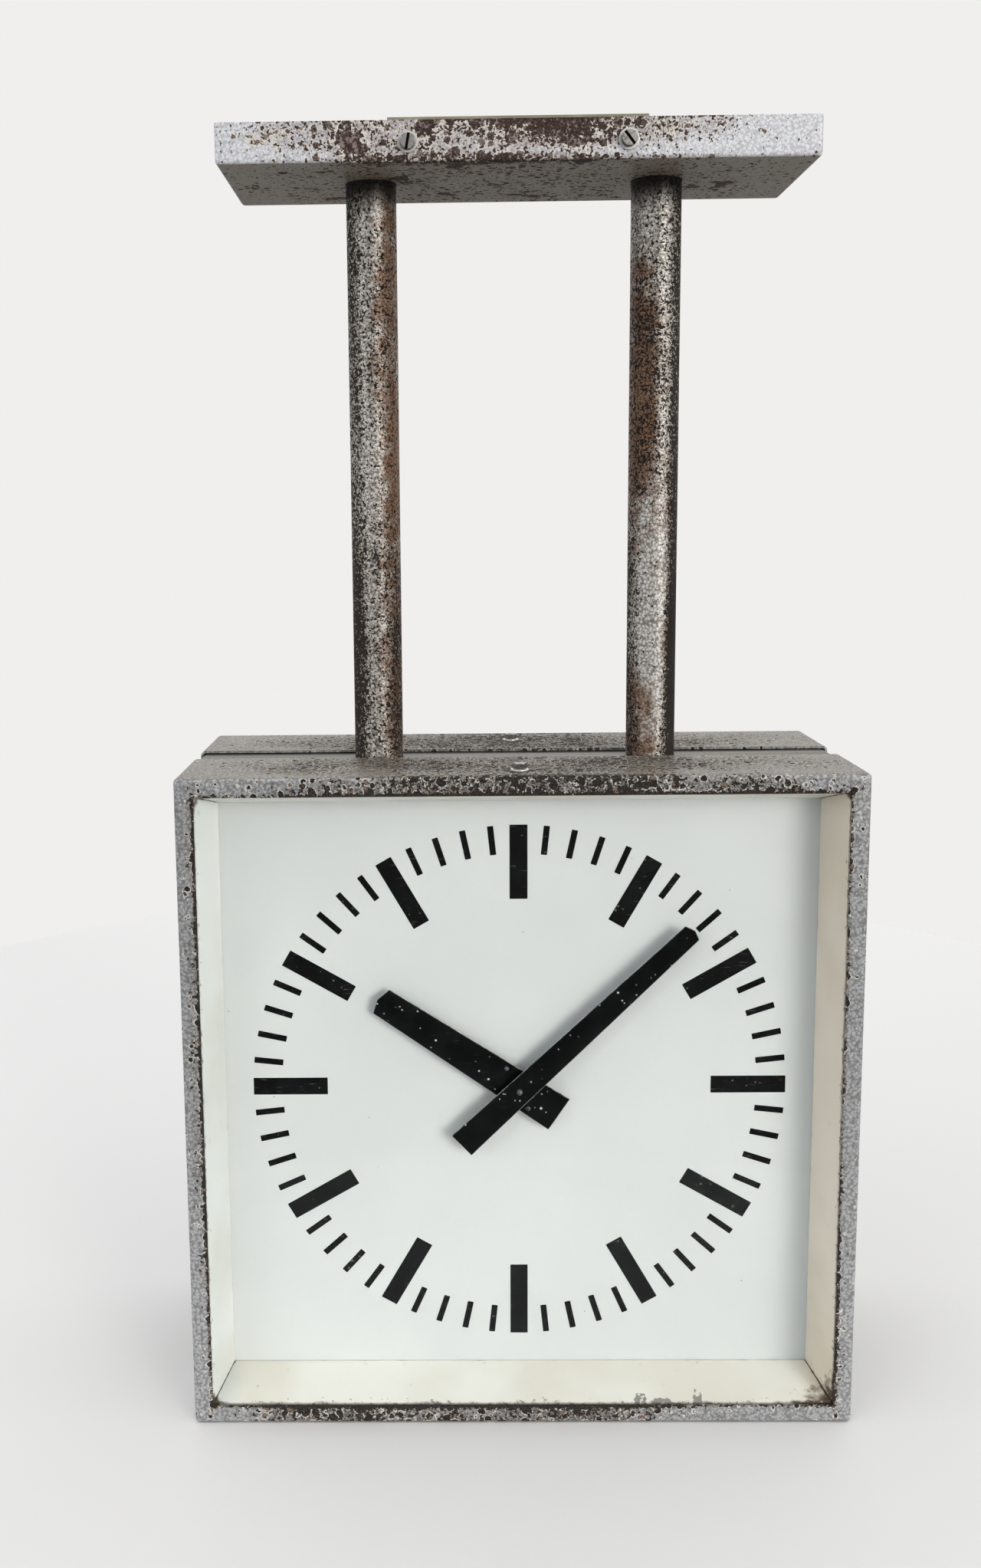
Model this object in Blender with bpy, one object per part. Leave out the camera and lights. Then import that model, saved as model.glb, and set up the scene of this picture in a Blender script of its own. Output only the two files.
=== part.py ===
"""A double-sided hanging clock: two glazed hoods on a central frame, hung on two tubes from a canopy box.

Metres, +Z up. The origin is under the middle of the case, at the height it stands on.
The front dial looks along -Y. The rear side is the front side turned half a turn about Z.
"""

import math

import bmesh
import bpy
from mathutils import Matrix, Vector

MM = 0.001

# Case
CASE_WIDTH = 450 * MM
CASE_HEIGHT = 450 * MM
HOOD_DEPTH = 80 * MM
HOOD_SHEET = 1.5 * MM
HOOD_CORNER = 3.2 * MM
BEZEL_BORDER = 12.8 * MM
BOLT_SETBACK = {"front": 21.4 * MM, "rear": 39.6 * MM}

# Hanging gear
TUBE_DIAMETER = 33.7 * MM
TUBE_WALL = 3.2 * MM
TUBE_SPACING = 191 * MM
HANGING_LENGTH = 386 * MM
CANOPY_WIDTH = 382 * MM
CANOPY_DEPTH = 128 * MM
CANOPY_HEIGHT = 25.5 * MM
CANOPY_SHEET = 1.5 * MM
CANOPY_CORNER = 3.0 * MM
BRACKET_LENGTH = 164 * MM
BRACKET_SHEET = 2.5 * MM
BRACKET_PROUD = 2.0 * MM
BRACKET_FOOT = 2 * MM
FIXING_HOLES = ((-52 * MM, 0, 4.5 * MM), (52 * MM, 0, 4.5 * MM), (0, -28 * MM, 10 * MM))
TUBE_FOOT = 8 * MM
TUBE_HEAD = 4 * MM
SCREW_SPACING = 138.6 * MM
SCREW_HEIGHT = 12 * MM

# Dial, reveal and glass
GLASS_THICKNESS = 3 * MM
GLASS_COVER = 6 * MM
DIAL_SETBACK = 40 * MM
DIAL_THICKNESS = 1.2 * MM
DIAL_COVER = 10 * MM
DIAL_HOLE_RADIUS = 5.4 * MM
DIAL_CENTRE_RISE = 2 * MM
REVEAL_INSET = 23 * MM
REVEAL_SHEET = 1.2 * MM
REVEAL_FLANGE = 8 * MM

# Frame
BAND_RECESS = 2 * MM
BAND_SHEET = 1.5 * MM
FRAME_SHEET = 2 * MM
FRAME_FLANGE = 20 * MM
FRAME_CORNER = 3 * MM
TAB_DROP = 5.5 * MM
TAB_SHEET = 3 * MM
TAB_HALF_WIDTH = 12 * MM
TAB_REACH = 8 * MM

# Hands, as angles clockwise from twelve
MINUTE_ANGLE = math.radians(46.2)
HOUR_ANGLE = math.radians(300) + MINUTE_ANGLE / 12
MINUTE_HAND = {"reach": 160.4, "tip": 2.6, "tail": 55.3, "tip_width": 13.2, "tail_width": 19.7}
HOUR_HAND = {"reach": 113.1, "tip": 3.2, "tail": 32.9, "tip_width": 20.0, "tail_width": 26.5}
HAND_SHEET = 1.0 * MM
RIDGE_HEIGHT = 1.6 * MM
RIDGE_START = 24 * MM
HOUR_HAND_LIFT = 7.0 * MM
MINUTE_HAND_LIFT = 12.2 * MM

# Fasteners
BOLT = {"across_flats": 8 * MM, "head": 3.5 * MM, "shank": 5 * MM, "washer": 12 * MM, "sheet": 1.0 * MM}
SCREW = {"head_width": 10 * MM, "head": 3.6 * MM, "shank": 6 * MM, "washer": 13 * MM, "sheet": 1.2 * MM}
SLOT_WIDTH = 1.8 * MM
SLOT_DEPTH = 1.6 * MM
PEENED_DISC = 1.8 * MM
SLOT_ANGLES = {"front_left": 10, "front_right": -38, "rear_left": 55, "rear_right": -12}
NUT_WALL = 5.15 * MM
NUT_HEIGHT = 8 * MM
TERMINALS = {
    "length": 48 * MM,
    "near": 22 * MM,
    "far": 40 * MM,
    "height": 13 * MM,
    "pitch": 15 * MM,
    "well": 3.2 * MM,
}

# Hinge of a hood
HINGE_ROD = 2.4 * MM
KNUCKLE = 4.4 * MM
HINGE_SETBACK = 2.9 * MM
HINGE_LENGTH = 240 * MM
KNUCKLE_LENGTH = 16 * MM

# Gear train
TRAIN_MODULE = 1.05 * MM
CENTRE_TEETH = 36
INTERMEDIATE_PINION = 6
INTERMEDIATE_TEETH = 30
ROTOR_PINION = 6
MOTION_SPAN = 18 * MM
CANNON_TEETH = 8
MINUTE_WHEEL_TEETH = 24
MINUTE_PINION = 8
HOUR_TEETH = 32
ROTOR_DROP = 34 * MM
MOTION_ANGLE = math.radians(225)
PLATE_HALF_WIDTH = 33 * MM
PLATE_TOP = 30 * MM
PLATE_BOTTOM = 56 * MM
PILLAR_RADIUS = 2.4 * MM
PILLAR_INSET = 4 * MM
ARBOR_RADIUS = 1.5 * MM
PIPE_BORE = 3.4 * MM
PIPE_RADIUS = 4.6 * MM
MAGNET_RADIUS = 11 * MM
STATOR_HALF_WIDTH = 26 * MM
STATOR_LIMB = 6 * MM
STATOR_BELOW = 36 * MM
STATOR_ABOVE = 10 * MM
STATOR_SHOULDER = 15 * MM
STATOR_SLIT = 2 * MM
COIL_RADIUS = 10 * MM
COIL_HALF_LENGTH = 16.5 * MM
CHEEK_RADIUS = 11 * MM
CHEEK_SHEET = 1.5 * MM

# Layers of the movement, as the depths behind the dial plate at which each begins and ends
LAYERS = {
    "hour": (2.3 * MM, 0.6 * MM),
    "cannon": (5.5 * MM, 3.1 * MM),
    "front_plate": (9.3 * MM, 7.3 * MM),
    "centre": (13.5 * MM, 11.9 * MM),
    "intermediate": (19.0 * MM, 17.4 * MM),
    "stator": (25.0 * MM, 21.0 * MM),
    "back_plate": (30.0 * MM, 28.0 * MM),
}

# Clearances
GAP = 0.3 * MM
TUBE_CLEARANCE = 0.85 * MM
WELD = 0.002 * MM

# Sizes that follow from the ones above
BAND_WIDTH = TUBE_DIAMETER + 2 * TUBE_CLEARANCE
FACE = BAND_WIDTH / 2 + HOOD_DEPTH
HOOD_REAR = BAND_WIDTH / 2
HALF = CASE_WIDTH / 2
HALF_HEIGHT = CASE_HEIGHT / 2
DIAL_CENTRE_HEIGHT = HALF_HEIGHT + DIAL_CENTRE_RISE
GLASS_FRONT = FACE - HOOD_SHEET - GAP
GLASS_BACK = GLASS_FRONT - GLASS_THICKNESS
DIAL_FACE = FACE - DIAL_SETBACK
DIAL_BACK = DIAL_FACE - DIAL_THICKNESS
FRAME_FACE = DIAL_BACK - GAP
FRAME_RECESS = BAND_RECESS + BAND_SHEET + GAP
CANOPY_BOTTOM = CASE_HEIGHT + HANGING_LENGTH
CANOPY_TOP = CANOPY_BOTTOM + CANOPY_HEIGHT
TAB_TOP = CASE_HEIGHT - TAB_DROP
HINGE_Y = HOOD_REAR - HINGE_SETBACK
HINGE_Z = KNUCKLE / 2 + 0.1 * MM
NUT_ACROSS_FLATS = TUBE_DIAMETER + 2 * NUT_WALL

FINISHES = {
    "hammertone": ("#5E615F", 0.55, 0.2),
    "band_paint": ("#8C8B85", 0.45, 0.1),
    "tube_paint": ("#6A6763", 0.5, 0.2),
    "canopy_paint": ("#B9B6B0", 0.6, 0.0),
    "cream_paint": ("#DDD9CB", 0.45, 0.0),
    "dial_white": ("#DDE2DE", 0.4, 0.0),
    "black_lacquer": ("#0B0C0D", 0.35, 0.0),
    "clear_glass": ("#E8EEEA", 0.05, 0.0),
    "zinc": ("#A7A6A0", 0.4, 0.9),
    "steel": ("#7C7B78", 0.4, 0.9),
    "brass": ("#B8964A", 0.3, 0.9),
    "copper_coil": ("#8A4A28", 0.5, 0.5),
    "magnet": ("#4A4A4C", 0.5, 0.6),
    "bakelite": ("#3A2A22", 0.4, 0.0),
}


def clear_scene():
    for old in list(bpy.data.objects):
        bpy.data.objects.remove(old, do_unlink=True)


def linear(value):
    return value / 12.92 if value <= 0.04045 else ((value + 0.055) / 1.055) ** 2.4


def finish(obj, kind):
    hex_colour, roughness, metallic = FINISHES[kind]
    colour = [linear(int(hex_colour[i : i + 2], 16) / 255) for i in (1, 3, 5)]
    material = bpy.data.materials.new(obj.name + "_" + kind)
    material.use_nodes = True
    shader = material.node_tree.nodes["Principled BSDF"]
    shader.inputs["Base Color"].default_value = (*colour, 1)
    shader.inputs["Roughness"].default_value = roughness
    shader.inputs["Metallic"].default_value = metallic
    obj.data.materials.clear()
    obj.data.materials.append(material)
    return obj


def solid(name, mesh):
    """An object of this bmesh, with its faces pointing out."""
    bmesh.ops.remove_doubles(mesh, verts=mesh.verts, dist=WELD)
    bmesh.ops.recalc_face_normals(mesh, faces=mesh.faces)
    data = bpy.data.meshes.new(name)
    mesh.to_mesh(data)
    mesh.free()
    obj = bpy.data.objects.new(name, data)
    bpy.context.scene.collection.objects.link(obj)
    return obj


def box(name, low, high, corner=0, rounded=None, segments=3):
    """A block between two corners. The edges for which rounded(middle, direction) holds get a radius."""
    mesh = bmesh.new()
    size = Vector(high) - Vector(low)
    centre = (Vector(high) + Vector(low)) / 2
    place = Matrix.Translation(centre) @ Matrix.Diagonal((*size, 1))
    bmesh.ops.create_cube(mesh, size=1, matrix=place)
    if corner:
        edges = []
        for edge in mesh.edges:
            middle = (edge.verts[0].co + edge.verts[1].co) / 2
            direction = (edge.verts[0].co - edge.verts[1].co).normalized()
            if rounded(middle, direction):
                edges.append(edge)
        bmesh.ops.bevel(mesh, geom=edges, offset=corner, segments=segments, profile=0.5, affect="EDGES")
    return solid(name, mesh)


def prism(name, outline, near, far):
    """An outline of (x, z) points carried along Y from near to far."""
    mesh = bmesh.new()
    rings = [[mesh.verts.new((x, y, z)) for x, z in outline] for y in (near, far)]
    count = len(outline)
    for i in range(count):
        after = (i + 1) % count
        mesh.faces.new((rings[0][i], rings[0][after], rings[1][after], rings[1][i]))
    mesh.faces.new(rings[0])
    mesh.faces.new(rings[1])
    return solid(name, mesh)


def turned(name, profile, axis, steps=24, centre=(0, 0, 0)):
    """A profile of (radius, along) points turned about X, Y or Z. It is a ring, or a bar with flat ends."""
    mesh = bmesh.new()
    across, up = {"X": ("Y", "Z"), "Y": ("Z", "X"), "Z": ("X", "Y")}[axis]
    unit = {"X": Vector((1, 0, 0)), "Y": Vector((0, 1, 0)), "Z": Vector((0, 0, 1))}
    rings = []
    bar = profile[0][0] == 0
    for radius, along in profile[1:-1] if bar else profile:
        base = Vector(centre) + unit[axis] * along
        ring = []
        for step in range(steps):
            angle = 2 * math.pi * step / steps
            around = unit[across] * math.cos(angle) + unit[up] * math.sin(angle)
            ring.append(mesh.verts.new(base + around * radius))
        rings.append(ring)
    following = rings[1:] if bar else rings[1:] + rings[:1]
    for first, second in zip(rings, following):
        for step in range(steps):
            after = (step + 1) % steps
            mesh.faces.new((first[step], first[after], second[after], second[step]))
    if bar:
        mesh.faces.new(rings[0])
        mesh.faces.new(rings[-1])
    return solid(name, mesh)


def combine(target, tool, operation):
    """Joins or cuts the target with the tool, and keeps the result as a plain mesh."""
    boolean = target.modifiers.new(operation, "BOOLEAN")
    boolean.operation = operation
    boolean.solver = "EXACT"
    boolean.object = tool
    graph = bpy.context.evaluated_depsgraph_get()
    result = bpy.data.meshes.new_from_object(target.evaluated_get(graph))
    target.modifiers.clear()
    welded = bmesh.new()
    welded.from_mesh(result)
    bmesh.ops.remove_doubles(welded, verts=welded.verts, dist=WELD)
    welded.to_mesh(result)
    welded.free()
    target.data = result
    bpy.data.objects.remove(tool, do_unlink=True)
    return target


def join(target, *tools):
    for tool in tools:
        combine(target, tool, "UNION")
    return target


def cut(target, *tools):
    for tool in tools:
        combine(target, tool, "DIFFERENCE")
    return target


def rod(name, radius, axis, start, end, centre=(0, 0, 0), steps=16):
    return turned(name, [(0, start), (radius, start), (radius, end), (0, end)], axis, steps, centre)


def hex_outline(across_flats, centre=(0, 0)):
    radius = across_flats / math.sqrt(3)
    turns = [math.radians(60 * i) for i in range(6)]
    return [(centre[0] + radius * math.cos(a), centre[1] + radius * math.sin(a)) for a in turns]


def upright(obj):
    """Turns a prism carried along Y so that it is carried along Z."""
    obj.data.transform(Matrix.Rotation(math.radians(90), 4, "X"))
    return obj


def put(obj, parent=None, location=(0, 0, 0), turn_y=0.0):
    obj.parent = parent
    obj.location = location
    obj.rotation_euler = (0, turn_y, 0)
    return obj


def empty(name, parent=None, location=(0, 0, 0), turn_z=0.0):
    obj = bpy.data.objects.new(name, None)
    bpy.context.scene.collection.objects.link(obj)
    obj.parent = parent
    obj.location = location
    obj.rotation_euler = (0, 0, turn_z)
    return obj


def smooth(obj, degrees=35):
    obj.data.shade_smooth()
    obj.data.set_sharp_from_angle(angle=math.radians(degrees))
    return obj


# Case shell


def hood(side, hinge):
    """A pressed tray, open at the back, with a square window in its face."""
    def outer_edge(middle, direction):
        return abs(direction.y) > 0.9 or middle.y < -FACE + MM

    def inner_edge(middle, direction):
        return abs(direction.y) > 0.9 or middle.y < -FACE + HOOD_SHEET + MM

    shell = box(side + "_hood", (-HALF, -FACE, 0), (HALF, -HOOD_REAR, CASE_HEIGHT), HOOD_CORNER, outer_edge)
    inside_low = (-HALF + HOOD_SHEET, -FACE + HOOD_SHEET, HOOD_SHEET)
    inside_high = (HALF - HOOD_SHEET, -HOOD_REAR + HOOD_DEPTH, CASE_HEIGHT - HOOD_SHEET)
    cut(shell, box("inside", inside_low, inside_high, HOOD_CORNER - HOOD_SHEET, inner_edge))
    window = HALF - BEZEL_BORDER
    cut(
        shell,
        box(
            "window",
            (-window, -FACE - HOOD_SHEET, BEZEL_BORDER),
            (window, -FACE + 3 * HOOD_SHEET, CASE_HEIGHT - BEZEL_BORDER),
        ),
    )
    bolt_y = -FACE + BOLT_SETBACK[side]
    hole_radius = BOLT["shank"] / 2 + GAP
    ends = (CASE_HEIGHT - 3 * HOOD_SHEET, CASE_HEIGHT + HOOD_SHEET)
    cut(shell, rod("bolt_hole", hole_radius, "Z", *ends, centre=(0, bolt_y, 0)))
    bore = HINGE_ROD / 2 + GAP
    for sign in (-1, 1):
        centre_x = sign * (HINGE_LENGTH / 2 - KNUCKLE_LENGTH / 2 - MM)
        start = centre_x - KNUCKLE_LENGTH / 2
        end = centre_x + KNUCKLE_LENGTH / 2
        middle = (0, -HINGE_Y, HINGE_Z)
        curl = rod("curl", KNUCKLE / 2, "X", start, end, middle, 20)
        leaf_top = HINGE_Z - bore - 0.1 * MM
        leaf = box("leaf", (start, -HOOD_REAR - 2 * MM, 0.12 * MM), (end, -HINGE_Y, leaf_top))
        join(shell, join(curl, leaf))
        cut(shell, rod("curl_bore", bore, "X", start - MM, end + MM, middle, 16))
    shell.data.transform(Matrix.Translation(-hinge.location))
    finish(put(smooth(shell, 30), hinge), "hammertone")
    return shell


def hood_bolt(side, hinge):
    """A captive hex bolt, its washer, and the disc peened on below the fork that it clamps."""
    bolt_y = -FACE + BOLT_SETBACK[side]
    seat = CASE_HEIGHT + GAP
    washer_top = seat + BOLT["sheet"]
    hole = BOLT["shank"] / 2 + GAP
    rim = BOLT["washer"] / 2
    section = [(hole, seat), (rim, seat), (rim, washer_top), (hole, washer_top)]
    washer = turned(side + "_hood_washer", section, "Z", 24, (0, bolt_y, 0))
    head_low = washer_top + GAP
    head_high = head_low + BOLT["head"]
    hexagon = upright(prism(side + "_hood_bolt", hex_outline(BOLT["across_flats"]), head_low, head_high))
    hexagon.data.transform(Matrix.Translation((0, bolt_y, 0)))
    disc_top = TAB_TOP - TAB_SHEET - GAP
    disc_bottom = disc_top - PEENED_DISC
    shank = rod("shank", BOLT["shank"] / 2, "Z", disc_bottom - MM, head_low + MM, (0, bolt_y, 0))
    disc = rod("disc", BOLT["shank"], "Z", disc_bottom, disc_top, (0, bolt_y, 0))
    join(hexagon, join(shank, disc))
    for piece, kind in ((washer, "zinc"), (hexagon, "steel")):
        piece.data.transform(Matrix.Translation(-hinge.location))
        finish(put(smooth(piece), hinge), kind)


def glass(side, hinge):
    edge = BEZEL_BORDER - GLASS_COVER
    low = (-HALF + edge, -GLASS_FRONT, edge)
    pane = box(side + "_glass", low, (HALF - edge, -GLASS_BACK, CASE_HEIGHT - edge))
    pane.data.transform(Matrix.Translation(-hinge.location))
    finish(put(pane, hinge), "clear_glass")


def reveal_strip(side, place, quarter_turns, hinge):
    """One mitred strip of the splayed reveal: a flange behind the glass, and a web sloping to the dial."""
    front = GLASS_BACK - GAP
    rear = DIAL_FACE + GAP
    border = BEZEL_BORDER
    section = [
        (border - REVEAL_FLANGE, front),
        (border, front),
        (REVEAL_INSET, rear),
        (REVEAL_INSET - REVEAL_SHEET, rear),
        (border - REVEAL_SHEET / 2, front - REVEAL_SHEET),
        (border - REVEAL_FLANGE, front - REVEAL_SHEET),
    ]
    along, across = (HALF, HALF_HEIGHT) if quarter_turns % 2 == 0 else (HALF_HEIGHT, HALF)
    mesh = bmesh.new()
    ends = []
    for sign in (-1, 1):
        end = [mesh.verts.new((sign * (along - inset - GAP), -y, across - inset)) for inset, y in section]
        ends.append(end)
    count = len(section)
    for i in range(count):
        after = (i + 1) % count
        mesh.faces.new((ends[0][i], ends[0][after], ends[1][after], ends[1][i]))
    mesh.faces.new(ends[0])
    mesh.faces.new(ends[1])
    strip = solid(side + "_reveal_" + place, mesh)
    strip.data.transform(Matrix.Rotation(quarter_turns * math.pi / 2, 4, "Y"))
    strip.data.transform(Matrix.Translation(Vector((0, 0, HALF_HEIGHT)) - hinge.location))
    finish(put(strip, hinge), "cream_paint")


def hinge_rod(side, turn):
    pin = rod(
        side + "_hinge_rod",
        HINGE_ROD / 2,
        "X",
        -HINGE_LENGTH / 2,
        HINGE_LENGTH / 2,
        (0, -HINGE_Y, HINGE_Z),
        12,
    )
    finish(put(smooth(pin), turn), "steel")


# Frame between the hoods


def lug_middles():
    inner = HINGE_LENGTH / 2 - 1.5 * KNUCKLE_LENGTH - 3 * MM
    return (-inner, inner)


def centre_band():
    """The plain strip that shows between the hoods, notched for the hinges and holed for the tubes."""
    half = HALF - BAND_RECESS
    low, high = BAND_RECESS, CASE_HEIGHT - BAND_RECESS
    depth = HOOD_REAR - GAP

    def edge(middle, direction):
        return abs(direction.y) > 0.9

    band = box("centre_band", (-half, -depth, low), (half, depth, high), FRAME_CORNER, edge)
    inner = half - BAND_SHEET
    hollow_low = (-inner, -2 * depth, low + BAND_SHEET)
    hollow_high = (inner, 2 * depth, high - BAND_SHEET)
    cut(band, box("hollow", hollow_low, hollow_high, FRAME_CORNER - BAND_SHEET, edge))
    top = (CASE_HEIGHT - 10 * MM, CASE_HEIGHT + 10 * MM)
    for sign in (-1, 1):
        middle = (sign * TUBE_SPACING / 2, 0, 0)
        cut(band, rod("tube_hole", TUBE_DIAMETER / 2 + GAP, "Z", *top, centre=middle, steps=32))
    reach = HINGE_LENGTH / 2 + 2 * MM
    for turn in (-1, 1):
        ys = sorted((turn * (depth + MM), turn * (HINGE_Y - KNUCKLE / 2 - 0.7 * MM)))
        cut(band, box("notch", (-reach, ys[0], -MM), (reach, ys[1], low + 2 * BAND_SHEET)))
    finish(put(smooth(band, 30)), "band_paint")


def centre_frame():
    """A square channel ring that carries the dials, the hinge lugs and the forked tabs of the hood bolts."""
    half = HALF - FRAME_RECESS
    low, high = FRAME_RECESS, CASE_HEIGHT - FRAME_RECESS

    def edge(middle, direction):
        return abs(direction.y) > 0.9

    frame = box("centre_frame", (-half, -FRAME_FACE, low), (half, FRAME_FACE, high), FRAME_CORNER, edge)
    inner = half - FRAME_SHEET
    wall = FRAME_SHEET
    web_y = FRAME_FACE - wall
    cut(frame, box("room", (-inner, -web_y, low + wall), (inner, web_y, high - wall)))
    lip = half - FRAME_FLANGE
    flange_low = (-lip, -2 * FRAME_FACE, low + FRAME_FLANGE)
    flange_high = (lip, 2 * FRAME_FACE, high - FRAME_FLANGE)
    cut(frame, box("mouth", flange_low, flange_high))
    top = (high - 3 * wall, high + 3 * wall)
    for sign in (-1, 1):
        middle = (sign * TUBE_SPACING / 2, 0, 0)
        cut(frame, rod("tube_hole", TUBE_DIAMETER / 2 + GAP, "Z", *top, centre=middle, steps=32))
    bore = HINGE_ROD / 2 + GAP
    for turn in (-1, 1):
        y = turn * HINGE_Y
        for sign in (-1, 1):
            curl_middle = sign * (HINGE_LENGTH / 2 - KNUCKLE_LENGTH / 2 - MM)
            reach = KNUCKLE_LENGTH / 2 + MM
            deep = KNUCKLE / 2 + 0.5 * MM
            notch_low = (curl_middle - reach, y - deep, low - MM)
            notch_high = (curl_middle + reach, y + deep, low + 2 * wall)
            cut(frame, box("notch", notch_low, notch_high))
        for middle in lug_middles():
            start = middle - KNUCKLE_LENGTH / 2
            end = middle + KNUCKLE_LENGTH / 2
            lug = rod("lug", KNUCKLE / 2, "X", start, end, (0, y, HINGE_Z), 20)
            neck_low = (start, y - KNUCKLE / 2, HINGE_Z)
            neck_high = (end, y + KNUCKLE / 2, low + wall)
            join(lug, box("neck", neck_low, neck_high))
            join(frame, lug)
            bore_start = start - MM
            bore_end = end + MM
            cut(frame, rod("lug_bore", bore, "X", bore_start, bore_end, (0, y, HINGE_Z), 16))
    for side, turn in (("front", -1), ("rear", 1)):
        bolt = FACE - BOLT_SETBACK[side]
        reach = bolt + TAB_REACH
        ys = sorted((turn * (FRAME_FACE - 3 * wall), turn * reach))
        tab_bottom = TAB_TOP - TAB_SHEET
        pocket_low = (-1.5 * BOLT["shank"], ys[0], tab_bottom - TAB_SHEET - MM)
        cut(frame, box("pocket", pocket_low, (1.5 * BOLT["shank"], ys[1], tab_bottom + MM)))
        join(frame, box("tab", (-TAB_HALF_WIDTH, ys[0], tab_bottom), (TAB_HALF_WIDTH, ys[1], TAB_TOP)))
        slot = BOLT["shank"] / 2 + 0.6 * MM
        slot_ys = sorted((turn * bolt, turn * (reach + MM)))
        slot_low = (-slot, slot_ys[0], TAB_TOP - 4 * TAB_SHEET)
        slot_high = (slot, slot_ys[1], TAB_TOP + 4 * TAB_SHEET)
        cut(frame, box("slot", slot_low, slot_high))
        ends = (TAB_TOP - 4 * TAB_SHEET, TAB_TOP + 4 * TAB_SHEET)
        cut(frame, rod("slot_end", slot, "Z", *ends, centre=(0, turn * bolt, 0)))
    finish(put(smooth(frame, 30)), "steel")


# Hanging gear


def tubes():
    foot = CASE_HEIGHT - FRAME_RECESS - TUBE_FOOT
    head = CANOPY_BOTTOM + CANOPY_SHEET + GAP + NUT_HEIGHT + TUBE_HEAD
    outer = TUBE_DIAMETER / 2
    inner = outer - TUBE_WALL
    nut_low = CANOPY_BOTTOM + CANOPY_SHEET + GAP
    for name, sign in (("left", -1), ("right", 1)):
        middle = (sign * TUBE_SPACING / 2, 0, 0)
        section = [(inner, foot), (outer, foot), (outer, head), (inner, head)]
        tube = turned("tube_" + name, section, "Z", 40)
        finish(put(smooth(tube), None, middle), "tube_paint")
        outline = hex_outline(NUT_ACROSS_FLATS)
        nut = upright(prism("tube_nut_" + name, outline, nut_low, nut_low + NUT_HEIGHT))
        ends = (nut_low - MM, nut_low + NUT_HEIGHT + MM)
        cut(nut, rod("thread", outer + GAP, "Z", *ends, steps=40))
        finish(put(smooth(nut), None, middle), "zinc")


def canopy():
    """A sheet box, open at the top, with round edges below and holes for the tubes and screws."""
    half_x = CANOPY_WIDTH / 2
    half_y = CANOPY_DEPTH / 2

    def edge(middle, direction):
        return abs(direction.z) > 0.9 or middle.z < CANOPY_BOTTOM + MM

    def inner_edge(middle, direction):
        return abs(direction.z) > 0.9 or middle.z < CANOPY_BOTTOM + CANOPY_SHEET + MM

    outer_low = (-half_x, -half_y, CANOPY_BOTTOM)
    shell = box("canopy", outer_low, (half_x, half_y, CANOPY_TOP), CANOPY_CORNER, edge)
    low = (-half_x + CANOPY_SHEET, -half_y + CANOPY_SHEET, CANOPY_BOTTOM + CANOPY_SHEET)
    high = (half_x - CANOPY_SHEET, half_y - CANOPY_SHEET, CANOPY_TOP + CANOPY_HEIGHT)
    cut(shell, box("inside", low, high, CANOPY_CORNER - CANOPY_SHEET, inner_edge))
    ends = (CANOPY_BOTTOM - 10 * MM, CANOPY_BOTTOM + 10 * MM)
    for sign in (-1, 1):
        middle = (sign * TUBE_SPACING / 2, 0, 0)
        cut(shell, rod("tube_hole", TUBE_DIAMETER / 2 + GAP, "Z", *ends, centre=middle, steps=32))
        screw_middle = (sign * SCREW_SPACING / 2, 0, CANOPY_BOTTOM + SCREW_HEIGHT)
        for side in (-1, 1):
            span = sorted((side * (half_y - 4 * MM), side * (half_y + 4 * MM)))
            cut(shell, rod("screw_hole", SCREW["shank"] / 2 + GAP, "Y", *span, centre=screw_middle))
    finish(put(smooth(shell, 30)), "canopy_paint")


def ceiling_bracket():
    """An inverted channel fixed to the ceiling. The canopy slides over it and is screwed to its flanges."""
    half_x = BRACKET_LENGTH / 2
    half_y = CANOPY_DEPTH / 2 - CANOPY_SHEET - GAP
    top = CANOPY_TOP + BRACKET_PROUD
    low = CANOPY_BOTTOM + CANOPY_SHEET + BRACKET_FOOT
    bracket = box("ceiling_bracket", (-half_x, -half_y, low), (half_x, half_y, top))
    inner = half_y - BRACKET_SHEET
    cut(bracket, box("channel", (-2 * half_x, -inner, low - MM), (2 * half_x, inner, top - BRACKET_SHEET)))
    through = (top - 3 * BRACKET_SHEET, top + BRACKET_SHEET)
    for x, y, radius in FIXING_HOLES:
        cut(bracket, rod("fixing_hole", radius, "Z", *through, centre=(x, y, 0)))
    for sign in (-1, 1):
        screw_middle = (sign * SCREW_SPACING / 2, 0, CANOPY_BOTTOM + SCREW_HEIGHT)
        for side in (-1, 1):
            span = sorted((side * (inner - MM), side * (half_y + MM)))
            cut(bracket, rod("tapped_hole", SCREW["shank"] / 2 + GAP, "Y", *span, centre=screw_middle))
    finish(put(smooth(bracket, 30)), "steel")


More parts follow.
